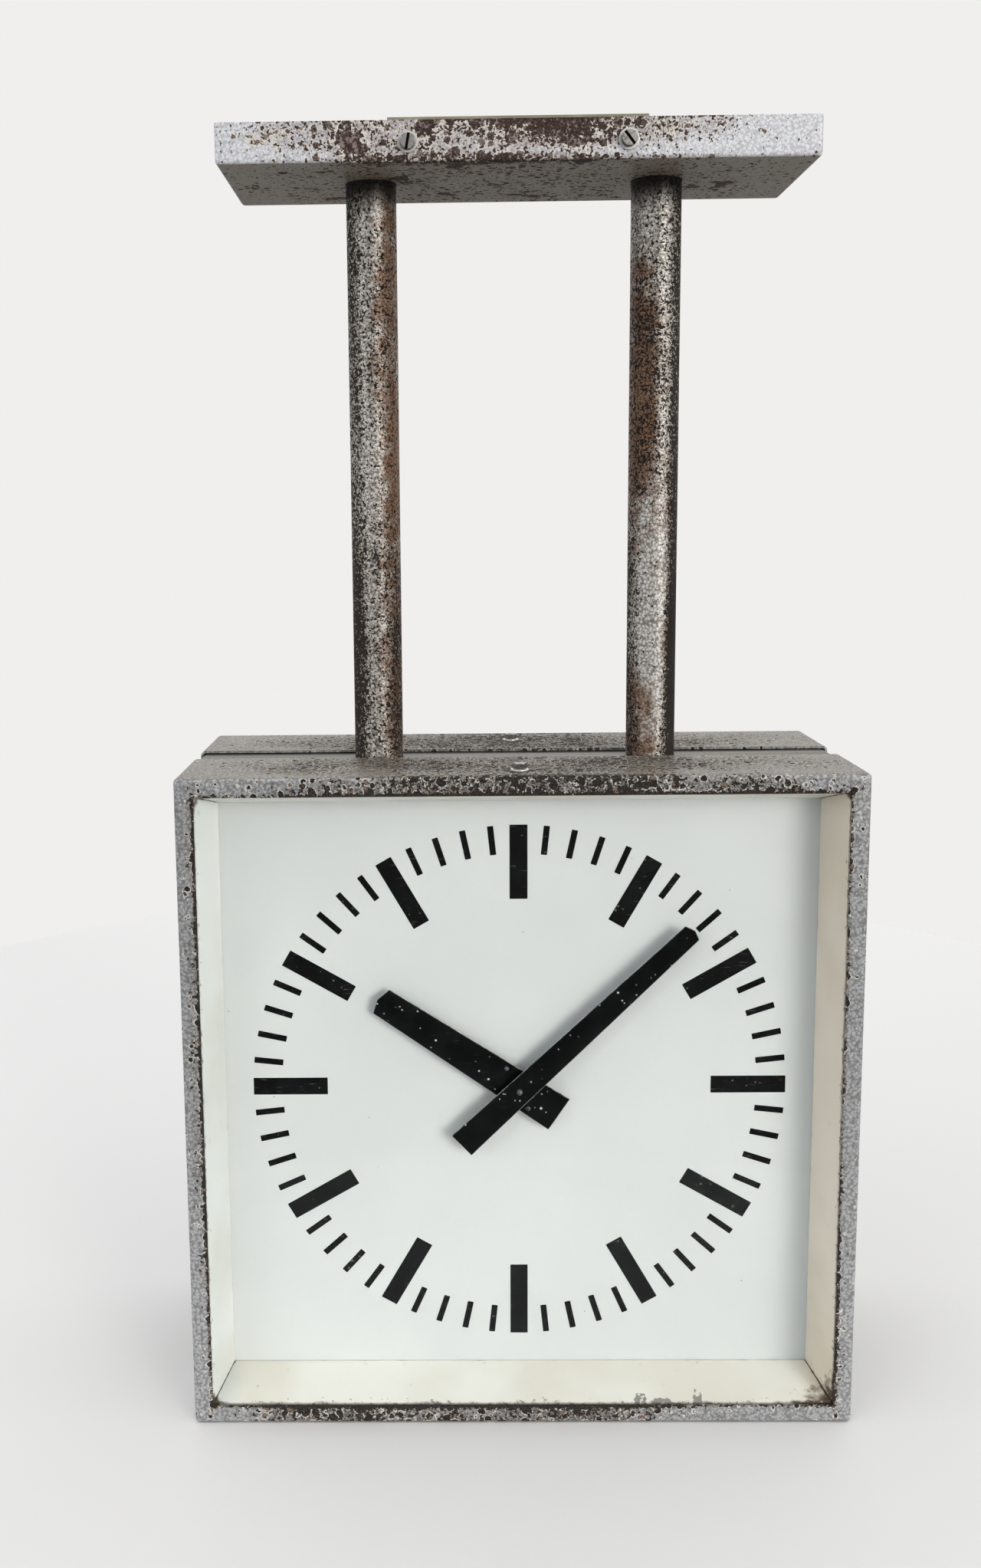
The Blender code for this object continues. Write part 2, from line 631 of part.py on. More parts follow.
def canopy_screws():
    """Slotted cheese-head screws with washers, two in the front wall and two in the rear wall."""
    wall = CANOPY_DEPTH / 2
    for place, slot_angle in SLOT_ANGLES.items():
        side, hand = place.split("_")
        turn = 1 if side == "rear" else -1
        x = SCREW_SPACING / 2 * (-1 if hand == "left" else 1)
        seat = wall + GAP
        washer_face = seat + SCREW["sheet"]
        hole = SCREW["shank"] / 2 + GAP
        rim = SCREW["washer"] / 2
        inner, outer = turn * seat, turn * washer_face
        section = [(hole, inner), (rim, inner), (rim, outer), (hole, outer)]
        washer = turned("canopy_washer_" + place, section, "Y", 28)
        head_low = washer_face + GAP
        head_high = head_low + SCREW["head"]
        head_radius = SCREW["head_width"] / 2
        tip = wall - CANOPY_SHEET - GAP - 3 * BRACKET_SHEET
        shank_radius = SCREW["shank"] / 2
        profile = [
            (0, turn * tip),
            (shank_radius, turn * tip),
            (shank_radius, turn * head_low),
            (head_radius, turn * head_low),
            (head_radius, turn * (head_high - 0.5 * MM)),
            (head_radius - 0.5 * MM, turn * head_high),
            (0, turn * head_high),
        ]
        screw = turned("canopy_screw_" + place, profile, "Y", 28)
        slot_floor = head_high - SLOT_DEPTH
        ys = sorted((turn * slot_floor, turn * (head_high + MM)))
        half_slot, reach = SLOT_WIDTH / 2, 2 * head_radius
        slot = box("slot", (-half_slot, ys[0], -reach), (half_slot, ys[1], reach))
        slot.data.transform(Matrix.Rotation(math.radians(slot_angle), 4, "Y"))
        cut(screw, slot)
        height = CANOPY_BOTTOM + SCREW_HEIGHT
        finish(put(smooth(washer), None, (x, 0, height)), "zinc")
        finish(put(smooth(screw, 30), None, (x, 0, height)), "zinc")


def terminal_block():
    floor = CANOPY_BOTTOM + CANOPY_SHEET + GAP
    half = TERMINALS["length"] / 2
    top = floor + TERMINALS["height"]
    middle_y = (TERMINALS["near"] + TERMINALS["far"]) / 2

    def top_edge(middle, direction):
        return middle.z > top - MM

    low = (-half, TERMINALS["near"], floor)
    block = box("terminal_block", low, (half, TERMINALS["far"], top), 1.5 * MM, top_edge)
    for i in (-1, 0, 1):
        centre = (i * TERMINALS["pitch"], middle_y, 0)
        cut(block, rod("well", TERMINALS["well"], "Z", (floor + top) / 2, top + MM, centre, 12))
    finish(put(block), "bakelite")


# Dial and hands


def dial(side, turn):
    edge = REVEAL_INSET - DIAL_COVER
    low = (-HALF + edge, -DIAL_FACE, edge)
    plate = box(side + "_dial", low, (HALF - edge, -DIAL_BACK, CASE_HEIGHT - edge))
    ends = (-DIAL_FACE - MM, -DIAL_BACK + MM)
    centre = (0, 0, DIAL_CENTRE_HEIGHT)
    cut(plate, rod("centre_hole", DIAL_HOLE_RADIUS, "Y", *ends, centre=centre, steps=32))
    finish(put(plate, turn), "dial_white")


def hand(name, size, lift, hole_radius, axle, angle):
    """A folded sheet hand pointing along +Z: flat at the hub, with a ridge along its blade."""
    half_tail = size["tail_width"] * MM / 2
    half_tip = size["tip_width"] * MM / 2
    reach = size["reach"] * MM
    tail = size["tail"] * MM
    stations = [-tail, RIDGE_START, RIDGE_START + 12 * MM, reach]
    ridges = [0, 0, RIDGE_HEIGHT, RIDGE_HEIGHT]
    back = -DIAL_FACE - lift
    mesh = bmesh.new()
    rows = []
    for along, ridge in zip(stations, ridges):
        share = (along + tail) / (reach + tail)
        half = half_tail + (half_tip - half_tail) * share
        point = size["tip"] * MM if along == reach else 0
        row = []
        for x, rise, further in ((-half, 0, 0), (0, ridge, point), (half, 0, 0)):
            row.append(mesh.verts.new((x, back - HAND_SHEET - rise, along + further)))
        for x, rise, further in ((half, 0, 0), (0, ridge, point), (-half, 0, 0)):
            row.append(mesh.verts.new((x, back - rise, along + further)))
        rows.append(row)
    for first, second in zip(rows, rows[1:]):
        for i in range(6):
            after = (i + 1) % 6
            mesh.faces.new((first[i], first[after], second[after], second[i]))
    for row in (rows[0], rows[-1]):
        mesh.faces.new((row[0], row[1], row[4], row[5]))
        mesh.faces.new((row[1], row[2], row[3], row[4]))
    blade = solid(name, mesh)
    ends = (back - 4 * HAND_SHEET, back + 4 * HAND_SHEET)
    cut(blade, rod("hub_hole", hole_radius, "Y", *ends, steps=24))
    finish(put(blade, axle, turn_y=angle), "black_lacquer")


# Movement


def gear_outline(teeth, module, phase, centre=(0, 0)):
    """Straight-flanked teeth, thin enough to run clear of their mates."""
    pitch = teeth * module / 2
    root = pitch - 1.15 * module
    tip = pitch + 0.8 * module
    step = 2 * math.pi / teeth
    points = []
    for i in range(teeth):
        middle = phase + i * step
        for radius, share in ((root, -0.28), (tip, -0.08), (tip, 0.08), (root, 0.28)):
            angle = middle + share * step
            x = centre[0] + radius * math.sin(angle)
            points.append((x, centre[1] + radius * math.cos(angle)))
    return points


def gear(name, teeth, module, phase, near, far):
    return prism(name, gear_outline(teeth, module, phase), -near, -far)


def mate_phase(bearing, other_phase, other_teeth, teeth):
    """The phase that puts a tooth space opposite the tooth that the other gear has nearest this bearing."""
    lag = (bearing - other_phase) * other_teeth / (2 * math.pi)
    offset = (lag - round(lag)) * 2 * math.pi / teeth
    return bearing + math.pi + offset + math.pi / teeth


def arbor(name, sections, steps=16):
    """A turned shaft along Y, from (radius, near, far) sections laid end to end, measured outwards."""
    profile = [(0, -sections[0][1])]
    for radius, near, far in sections:
        profile += [(radius, -near), (radius, -far)]
    profile.append((0, -sections[-1][2]))
    return turned(name, profile, "Y", steps)


def movement_plates(side, turn, layer, places):
    """The front plate with its pillars, and the back plate that sits behind them."""
    low_z = DIAL_CENTRE_HEIGHT - PLATE_BOTTOM
    high_z = DIAL_CENTRE_HEIGHT + PLATE_TOP
    half = PLATE_HALF_WIDTH
    front_near, front_far = layer["front_plate"]
    back_near, back_far = layer["back_plate"]
    front = box(side + "_movement_front_plate", (-half, -front_far, low_z), (half, -front_near, high_z))
    back = box(side + "_movement_back_plate", (-half, -back_far, low_z), (half, -back_near, high_z))
    post_x = half - PILLAR_INSET
    for x in (-post_x, post_x):
        for z in (low_z + PILLAR_INSET, high_z - PILLAR_INSET):
            ends = (-DIAL_BACK + GAP, -back_far - GAP)
            join(front, rod("pillar", PILLAR_RADIUS, "Y", *ends, centre=(x, 0, z), steps=12))
    front_span = (-front_far - MM, -front_near + MM)
    back_span = (-back_far - MM, -back_near + MM)
    for name, (x, z) in places.items():
        middle = (x, 0, DIAL_CENTRE_HEIGHT + z)
        hole = PIPE_BORE - 2 * GAP if name == "centre" else ARBOR_RADIUS + GAP
        cut(front, rod("pivot_hole", hole, "Y", *front_span, centre=middle, steps=12))
        if name != "motion":
            cut(back, rod("pivot_hole", ARBOR_RADIUS + GAP, "Y", *back_span, centre=middle, steps=12))
    finish(put(smooth(front, 30), turn), "brass")
    finish(put(smooth(back, 30), turn), "brass")


def stator_outline(rotor_z):
    """The lamination, as (x, z) points: two limbs, a core between them, and pole shoes round the rotor."""
    limb_out = STATOR_HALF_WIDTH
    limb_in = limb_out - STATOR_LIMB
    bottom = rotor_z - STATOR_BELOW
    top = rotor_z + STATOR_ABOVE
    shoulder = rotor_z - STATOR_SHOULDER
    right = [
        (limb_out, bottom),
        (limb_out, top),
        (STATOR_SLIT, top),
        (STATOR_SLIT, shoulder),
        (limb_in, shoulder),
        (limb_in, bottom + STATOR_LIMB),
    ]
    return right + [(-x, z) for x, z in reversed(right)]


def drive(side, turn, layer, rotor, stage):
    """The laminated stator round the rotor, and the coil on its lower limb."""
    near, far = layer["stator"]
    rotor_z = DIAL_CENTRE_HEIGHT + rotor[1]
    stator = prism(side + "_stator", stator_outline(rotor_z), -near, -far)
    clear = MAGNET_RADIUS + 2 * GAP
    cut(stator, rod("bore", clear, "Y", -far - MM, -near + MM, (0, 0, rotor_z), 40))
    pivot = (stage[0], 0, DIAL_CENTRE_HEIGHT + stage[1])
    cut(stator, rod("relief", 2 * ARBOR_RADIUS, "Y", -far - MM, -near + MM, pivot, 16))
    finish(put(smooth(stator, 30), turn), "steel")
    core_z = rotor_z - STATOR_BELOW + STATOR_LIMB / 2
    middle = (0, -(near + far) / 2, core_z)
    reach = COIL_HALF_LENGTH
    coil = rod(side + "_coil", COIL_RADIUS, "X", -reach, reach, middle, 24)
    for sign in (-1, 1):
        cheek_ends = sorted((sign * reach, sign * (reach + CHEEK_SHEET)))
        join(coil, rod("cheek", CHEEK_RADIUS, "X", *cheek_ends, centre=middle, steps=24))
    slot = Vector((2 * reach, (far - near) / 2 + GAP, STATOR_LIMB / 2 + GAP))
    cut(coil, box("core_slot", Vector(middle) - slot, Vector(middle) + slot))
    finish(put(smooth(coil, 30), turn), "copper_coil")


def pivot_places():
    """Where each arbor stands, as (x, z) from the dial centre."""
    first_span = TRAIN_MODULE * (CENTRE_TEETH + INTERMEDIATE_PINION) / 2
    second_span = TRAIN_MODULE * (INTERMEDIATE_TEETH + ROTOR_PINION) / 2
    spread = (first_span**2 + ROTOR_DROP**2 - second_span**2) / (2 * first_span * ROTOR_DROP)
    bearing = math.pi - math.acos(spread)
    return {
        "centre": (0.0, 0.0),
        "intermediate": (first_span * math.sin(bearing), first_span * math.cos(bearing)),
        "rotor": (0.0, -ROTOR_DROP),
        "motion": (MOTION_SPAN * math.sin(MOTION_ANGLE), MOTION_SPAN * math.cos(MOTION_ANGLE)),
    }


def centre_wheel(side, axle, layer, back, cannon_module):
    """The arbor, wheel and cannon pinion, with the minute hand's shoulder and the pin that holds it."""
    plate_back = layer["front_plate"][0] - GAP
    neck_end = layer["cannon"][0] - 0.5 * MM
    shoulder = DIAL_FACE + MINUTE_HAND_LIFT - GAP
    pin = DIAL_FACE + MINUTE_HAND_LIFT + HAND_SHEET + 0.6 * MM
    cannon_radius = PIPE_BORE - 0.8 * MM
    sections = [
        (ARBOR_RADIUS, back, plate_back),
        (cannon_radius - 0.4 * MM, plate_back, neck_end),
        (cannon_radius, neck_end, shoulder),
        (ARBOR_RADIUS, shoulder, pin),
        (ARBOR_RADIUS * 0.7, pin, pin + 0.4 * MM),
    ]
    wheel = arbor(side + "_centre_wheel", sections)
    join(wheel, gear("wheel", CENTRE_TEETH, TRAIN_MODULE, 0, *layer["centre"]))
    join(wheel, gear("cannon", CANNON_TEETH, cannon_module, 0, *layer["cannon"]))
    finish(put(smooth(wheel, 30), axle), "brass")


def intermediate_wheel(side, axle, layer, back, bearing):
    """A wheel whose pinion meshes with the centre wheel."""
    phase = mate_phase(bearing, 0, CENTRE_TEETH, INTERMEDIATE_PINION)
    wheel = arbor(side + "_intermediate_wheel", [(ARBOR_RADIUS, back, layer["front_plate"][1])])
    span = (layer["centre"][0] - 0.5 * MM, layer["centre"][1] + 0.5 * MM)
    join(wheel, gear("pinion", INTERMEDIATE_PINION, TRAIN_MODULE, phase, *span))
    join(wheel, gear("wheel", INTERMEDIATE_TEETH, TRAIN_MODULE, 0, *layer["intermediate"]))
    finish(put(smooth(wheel, 30), axle), "brass")


def rotor_drum(side, axle, layer, back, bearing):
    """A magnet drum, and the pinion that drives the intermediate wheel."""
    phase = mate_phase(bearing, 0, INTERMEDIATE_TEETH, ROTOR_PINION)
    near = layer["stator"][0] - 0.4 * MM
    far = layer["stator"][1] + 0.4 * MM
    front = layer["front_plate"][1]
    sections = [(ARBOR_RADIUS, back, near), (MAGNET_RADIUS, near, far), (ARBOR_RADIUS, far, front)]
    drum = arbor(side + "_rotor", sections, 32)
    span = (layer["intermediate"][0] - 0.5 * MM, layer["intermediate"][1] + 0.5 * MM)
    join(drum, gear("pinion", ROTOR_PINION, TRAIN_MODULE, phase, *span))
    finish(put(smooth(drum, 30), axle), "magnet")


def minute_wheel(side, axle, layer, cannon_module, hour_module):
    """The wheel that the cannon pinion drives, with its own pinion on the hour wheel."""
    phase = mate_phase(MOTION_ANGLE, 0, CANNON_TEETH, MINUTE_WHEEL_TEETH)
    stud_top = layer["hour"][1] - 0.2 * MM
    wheel = arbor(side + "_minute_wheel", [(ARBOR_RADIUS, layer["front_plate"][0], stud_top)], 12)
    join(wheel, gear("wheel", MINUTE_WHEEL_TEETH, cannon_module, phase, *layer["cannon"]))
    span = (layer["cannon"][1] - 0.5 * MM, layer["hour"][1])
    join(wheel, gear("pinion", MINUTE_PINION, hour_module, 0, *span))
    finish(put(smooth(wheel, 30), axle), "brass")


def hour_wheel(side, axle, layer, hour_module):
    """A wheel whose pipe comes out through the dial and carries the hour hand."""
    phase = mate_phase(MOTION_ANGLE + math.pi, 0, MINUTE_PINION, HOUR_TEETH)
    pipe_end = DIAL_FACE + HOUR_HAND_LIFT + HAND_SHEET + 0.6 * MM
    near = layer["hour"][0]
    wheel = gear(side + "_hour_wheel", HOUR_TEETH, hour_module, phase, *layer["hour"])
    join(wheel, rod("pipe", PIPE_RADIUS, "Y", -pipe_end, -near - 0.2 * MM, steps=24))
    cut(wheel, rod("pipe_bore", PIPE_BORE, "Y", -pipe_end - MM, -near + MM, steps=24))
    finish(put(smooth(wheel, 30), axle), "brass")


def movement(side, turn):
    """The impulse movement: rotor, intermediate wheel, centre wheel, and motion work to the hour wheel."""
    layer = {name: (DIAL_BACK - deep, DIAL_BACK - shallow) for name, (deep, shallow) in LAYERS.items()}
    back = layer["back_plate"][0]
    places = pivot_places()
    movement_plates(side, turn, layer, places)
    drive(side, turn, layer, places["rotor"], places["intermediate"])

    axles = {}
    for name, (x, z) in places.items():
        axles[name] = empty(f"{side}_{name}_axis", turn, (x, 0, DIAL_CENTRE_HEIGHT + z))

    hour_module = 2 * MOTION_SPAN / (MINUTE_PINION + HOUR_TEETH)
    cannon_module = 2 * MOTION_SPAN / (CANNON_TEETH + MINUTE_WHEEL_TEETH)
    stage = places["intermediate"]
    rotor = places["rotor"]
    to_stage = math.atan2(*stage)
    to_rotor = math.atan2(rotor[0] - stage[0], rotor[1] - stage[1])
    centre_wheel(side, axles["centre"], layer, back, cannon_module)
    intermediate_wheel(side, axles["intermediate"], layer, back, to_stage)
    rotor_drum(side, axles["rotor"], layer, back, to_rotor)
    minute_wheel(side, axles["motion"], layer, cannon_module, hour_module)
    hour_wheel(side, axles["centre"], layer, hour_module)

    hour_hole = PIPE_RADIUS + GAP
    hand(side + "_hour_hand", HOUR_HAND, HOUR_HAND_LIFT, hour_hole, axles["centre"], HOUR_ANGLE)
    minute_hole = ARBOR_RADIUS + GAP
    hand(side + "_minute_hand", MINUTE_HAND, MINUTE_HAND_LIFT, minute_hole, axles["centre"], MINUTE_ANGLE)


def main():
    clear_scene()
    centre_frame()
    centre_band()
    for side, half_turns in (("front", 0), ("rear", 1)):
        turn = empty(side + "_side", turn_z=half_turns * math.pi)
        hinge = empty(side + "_hood_hinge", turn, (0, -HINGE_Y, HINGE_Z))
        hood(side, hinge)
        hood_bolt(side, hinge)
        glass(side, hinge)
        for quarter_turns, place in enumerate(("top", "right", "bottom", "left")):
            reveal_strip(side, place, quarter_turns, hinge)
        hinge_rod(side, turn)
        dial(side, turn)
        movement(side, turn)
    tubes()
    canopy()
    ceiling_bracket()
    canopy_screws()
    terminal_block()


main()
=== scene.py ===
import math

import bmesh
import bpy
from mathutils import Matrix, Vector


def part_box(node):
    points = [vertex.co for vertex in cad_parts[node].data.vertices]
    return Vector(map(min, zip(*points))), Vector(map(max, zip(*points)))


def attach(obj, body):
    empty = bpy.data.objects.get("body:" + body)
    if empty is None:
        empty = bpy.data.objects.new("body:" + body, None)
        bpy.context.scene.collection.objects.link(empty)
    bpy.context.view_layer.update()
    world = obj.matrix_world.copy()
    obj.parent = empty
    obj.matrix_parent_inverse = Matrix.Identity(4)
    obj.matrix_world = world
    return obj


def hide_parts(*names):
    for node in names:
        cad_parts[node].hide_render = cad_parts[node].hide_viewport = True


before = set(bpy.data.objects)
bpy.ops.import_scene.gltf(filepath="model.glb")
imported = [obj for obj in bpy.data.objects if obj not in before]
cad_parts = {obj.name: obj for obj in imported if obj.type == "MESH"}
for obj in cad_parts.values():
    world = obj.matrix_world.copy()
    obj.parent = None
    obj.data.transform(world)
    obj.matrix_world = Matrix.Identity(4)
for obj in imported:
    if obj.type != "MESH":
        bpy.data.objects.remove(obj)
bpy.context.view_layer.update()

mm = 0.001
smoothAngle = math.radians(32)  # edges flatter than this are shaded as one surface
weldGap = 0.00001  # vertices nearer than this are one
onPlane = 0.05 * mm  # how near a plane a point has to be to lie in it
nearEdge = 1.0 * mm

# Places that several pieces share, read from the frame
caseLow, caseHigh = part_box("front_hood")
faceY = caseLow.y
caseHalf = caseHigh.x
caseTop = caseHigh.z
caseMiddle = caseTop / 2
bezelBorder = 12.8 * mm
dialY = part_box("front_dial")[0].y
hubAt = Vector((0, dialY, caseMiddle + 2 * mm))
canopyLow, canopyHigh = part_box("canopy")
screwFace = -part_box("canopy_screw_front_left")[0].y


# Selecting and editing

def deselectAll():
    if bpy.context.mode != "OBJECT":
        bpy.ops.object.mode_set(mode="OBJECT")
    bpy.ops.object.select_all(action="DESELECT")


def makeActive(piece):
    deselectAll()
    piece.select_set(True)
    bpy.context.view_layer.objects.active = piece


def startEdit(piece):
    makeActive(piece)
    bpy.ops.object.mode_set(mode="EDIT")
    bpy.ops.mesh.select_all(action="SELECT")


def pick(kind, wanted):
    # in edit mode, leaves selected only the verts, edges or faces for which wanted(element) holds
    bpy.ops.mesh.select_all(action="DESELECT")
    bpy.ops.mesh.select_mode(type=kind)
    mesh = bmesh.from_edit_mesh(bpy.context.edit_object.data)
    elements = {"VERT": mesh.verts, "EDGE": mesh.edges, "FACE": mesh.faces}[kind]
    for element in elements:
        if wanted(element):
            element.select_set(True)
    mesh.select_flush_mode()
    bmesh.update_edit_mesh(bpy.context.edit_object.data)


def endEdit():
    bpy.ops.object.mode_set(mode="OBJECT")


def settle(piece, name):
    # puts the piece's place, turn and size into its mesh
    makeActive(piece)
    bpy.ops.object.transform_apply(location=True, rotation=True, scale=True)
    piece.name = name
    piece.data.name = name
    return piece


def applyModifier(piece, kind, **settings):
    makeActive(piece)
    bpy.ops.object.modifier_add(type=kind)
    modifier = piece.modifiers[-1]
    for key, value in settings.items():
        setattr(modifier, key, value)
    bpy.ops.object.modifier_apply(modifier=modifier.name)
    return piece


def roundOff(piece, width, segments=2, angle=30, **settings):
    limit = math.radians(angle)
    applyModifier(
        piece, "BEVEL", width=width, segments=segments, limit_method="ANGLE", angle_limit=limit, **settings
    )
    makeActive(piece)
    bpy.ops.object.shade_smooth_by_angle(angle=smoothAngle)
    # keeps the flat faces flat beside the eased edge
    return applyModifier(piece, "WEIGHTED_NORMAL", mode="FACE_AREA", weight=100, keep_sharp=True)


def faceOut(piece):
    startEdit(piece)
    bpy.ops.mesh.remove_doubles(threshold=weldGap)
    bpy.ops.mesh.normals_make_consistent(inside=False)
    endEdit()
    return piece


def copyOf(piece, name, move=Matrix.Identity(4)):
    copy = bpy.data.objects.new(name, piece.data.copy())
    copy.data.name = name
    bpy.context.collection.objects.link(copy)
    copy.data.transform(move)
    return copy


def joinInto(first, others, name):
    makeActive(first)
    for other in others:
        other.select_set(True)
    bpy.ops.object.join()
    first.name = name
    first.data.name = name
    return first


def finished(piece, material, slotName, body, *replaced):
    if material:
        piece.data.materials.clear()
        piece.data.materials.append(material)
    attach(piece, body)
    if replaced:
        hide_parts(*replaced)
    return piece


# Colours and nodes

def colour(hexValue):
    parts = [int(hexValue[i : i + 2], 16) / 255 for i in (1, 3, 5)]
    linear = [p / 12.92 if p <= 0.04045 else ((p + 0.055) / 1.055) ** 2.4 for p in parts]
    return (*linear, 1)


smooth = {"interpolation_type": "SMOOTHSTEP"}  # a Map Range that eases in and out


def addNode(tree, kind, inputs, **settings):
    made = tree.nodes.new(kind)
    for key, value in settings.items():
        setattr(made, key, value)
    for key, value in inputs.items():
        if isinstance(value, bpy.types.NodeSocket):
            tree.links.new(value, made.inputs[key])
        else:
            made.inputs[key].default_value = value
    return made


def startMaterial(name, roughness=0.5, metallic=0.0):
    material = bpy.data.materials.new(name)
    material.use_nodes = True
    tree = material.node_tree
    shader = tree.nodes["Principled BSDF"]
    shader.inputs["Roughness"].default_value = roughness
    shader.inputs["Metallic"].default_value = metallic
    place = addNode(tree, "ShaderNodeTexCoord", {}).outputs["Object"]
    return material, tree, shader, place


def per(millimetres):
    # a texture's scale for a feature of this size
    return 1000 / millimetres


def blobs(tree, place, zones, side):
    # a socket that rises to each zone's amount inside its soft ellipsoid, given in millimetres
    total = None
    for centre, radii, amount in zones:
        middle = (side * centre[0] * mm, side * centre[1] * mm, centre[2] * mm)
        reach = [r * mm for r in radii]
        away = addNode(tree, "ShaderNodeVectorMath", {0: place, 1: middle}, operation="SUBTRACT").outputs[0]
        shrunk = addNode(tree, "ShaderNodeVectorMath", {0: away, 1: reach}, operation="DIVIDE").outputs[0]
        length = addNode(tree, "ShaderNodeVectorMath", {0: shrunk}, operation="LENGTH").outputs["Value"]
        fade = addNode(
            tree,
            "ShaderNodeMapRange",
            {"Value": length, "From Min": 1.0, "From Max": 0.45, "To Min": 0.0, "To Max": amount},
            **smooth,
        ).outputs[0]
        if total is None:
            total = fade
        else:
            total = addNode(tree, "ShaderNodeMath", {0: total, 1: fade}, operation="ADD").outputs[0]
    return total


def squareReach(tree, place):
    # how far a point is from the dial axis across and up, and the larger of the two
    parts = addNode(tree, "ShaderNodeSeparateXYZ", {"Vector": place})
    across = addNode(tree, "ShaderNodeMath", {0: parts.outputs["X"]}, operation="ABSOLUTE").outputs[0]
    raised = addNode(
        tree, "ShaderNodeMath", {0: parts.outputs["Z"], 1: caseMiddle}, operation="SUBTRACT"
    ).outputs[0]
    up = addNode(tree, "ShaderNodeMath", {0: raised}, operation="ABSOLUTE").outputs[0]
    most = addNode(tree, "ShaderNodeMath", {0: across, 1: up}, operation="MAXIMUM").outputs[0]
    depth = addNode(tree, "ShaderNodeMath", {0: parts.outputs["Y"]}, operation="ABSOLUTE").outputs[0]
    return across, up, most, depth


# Materials

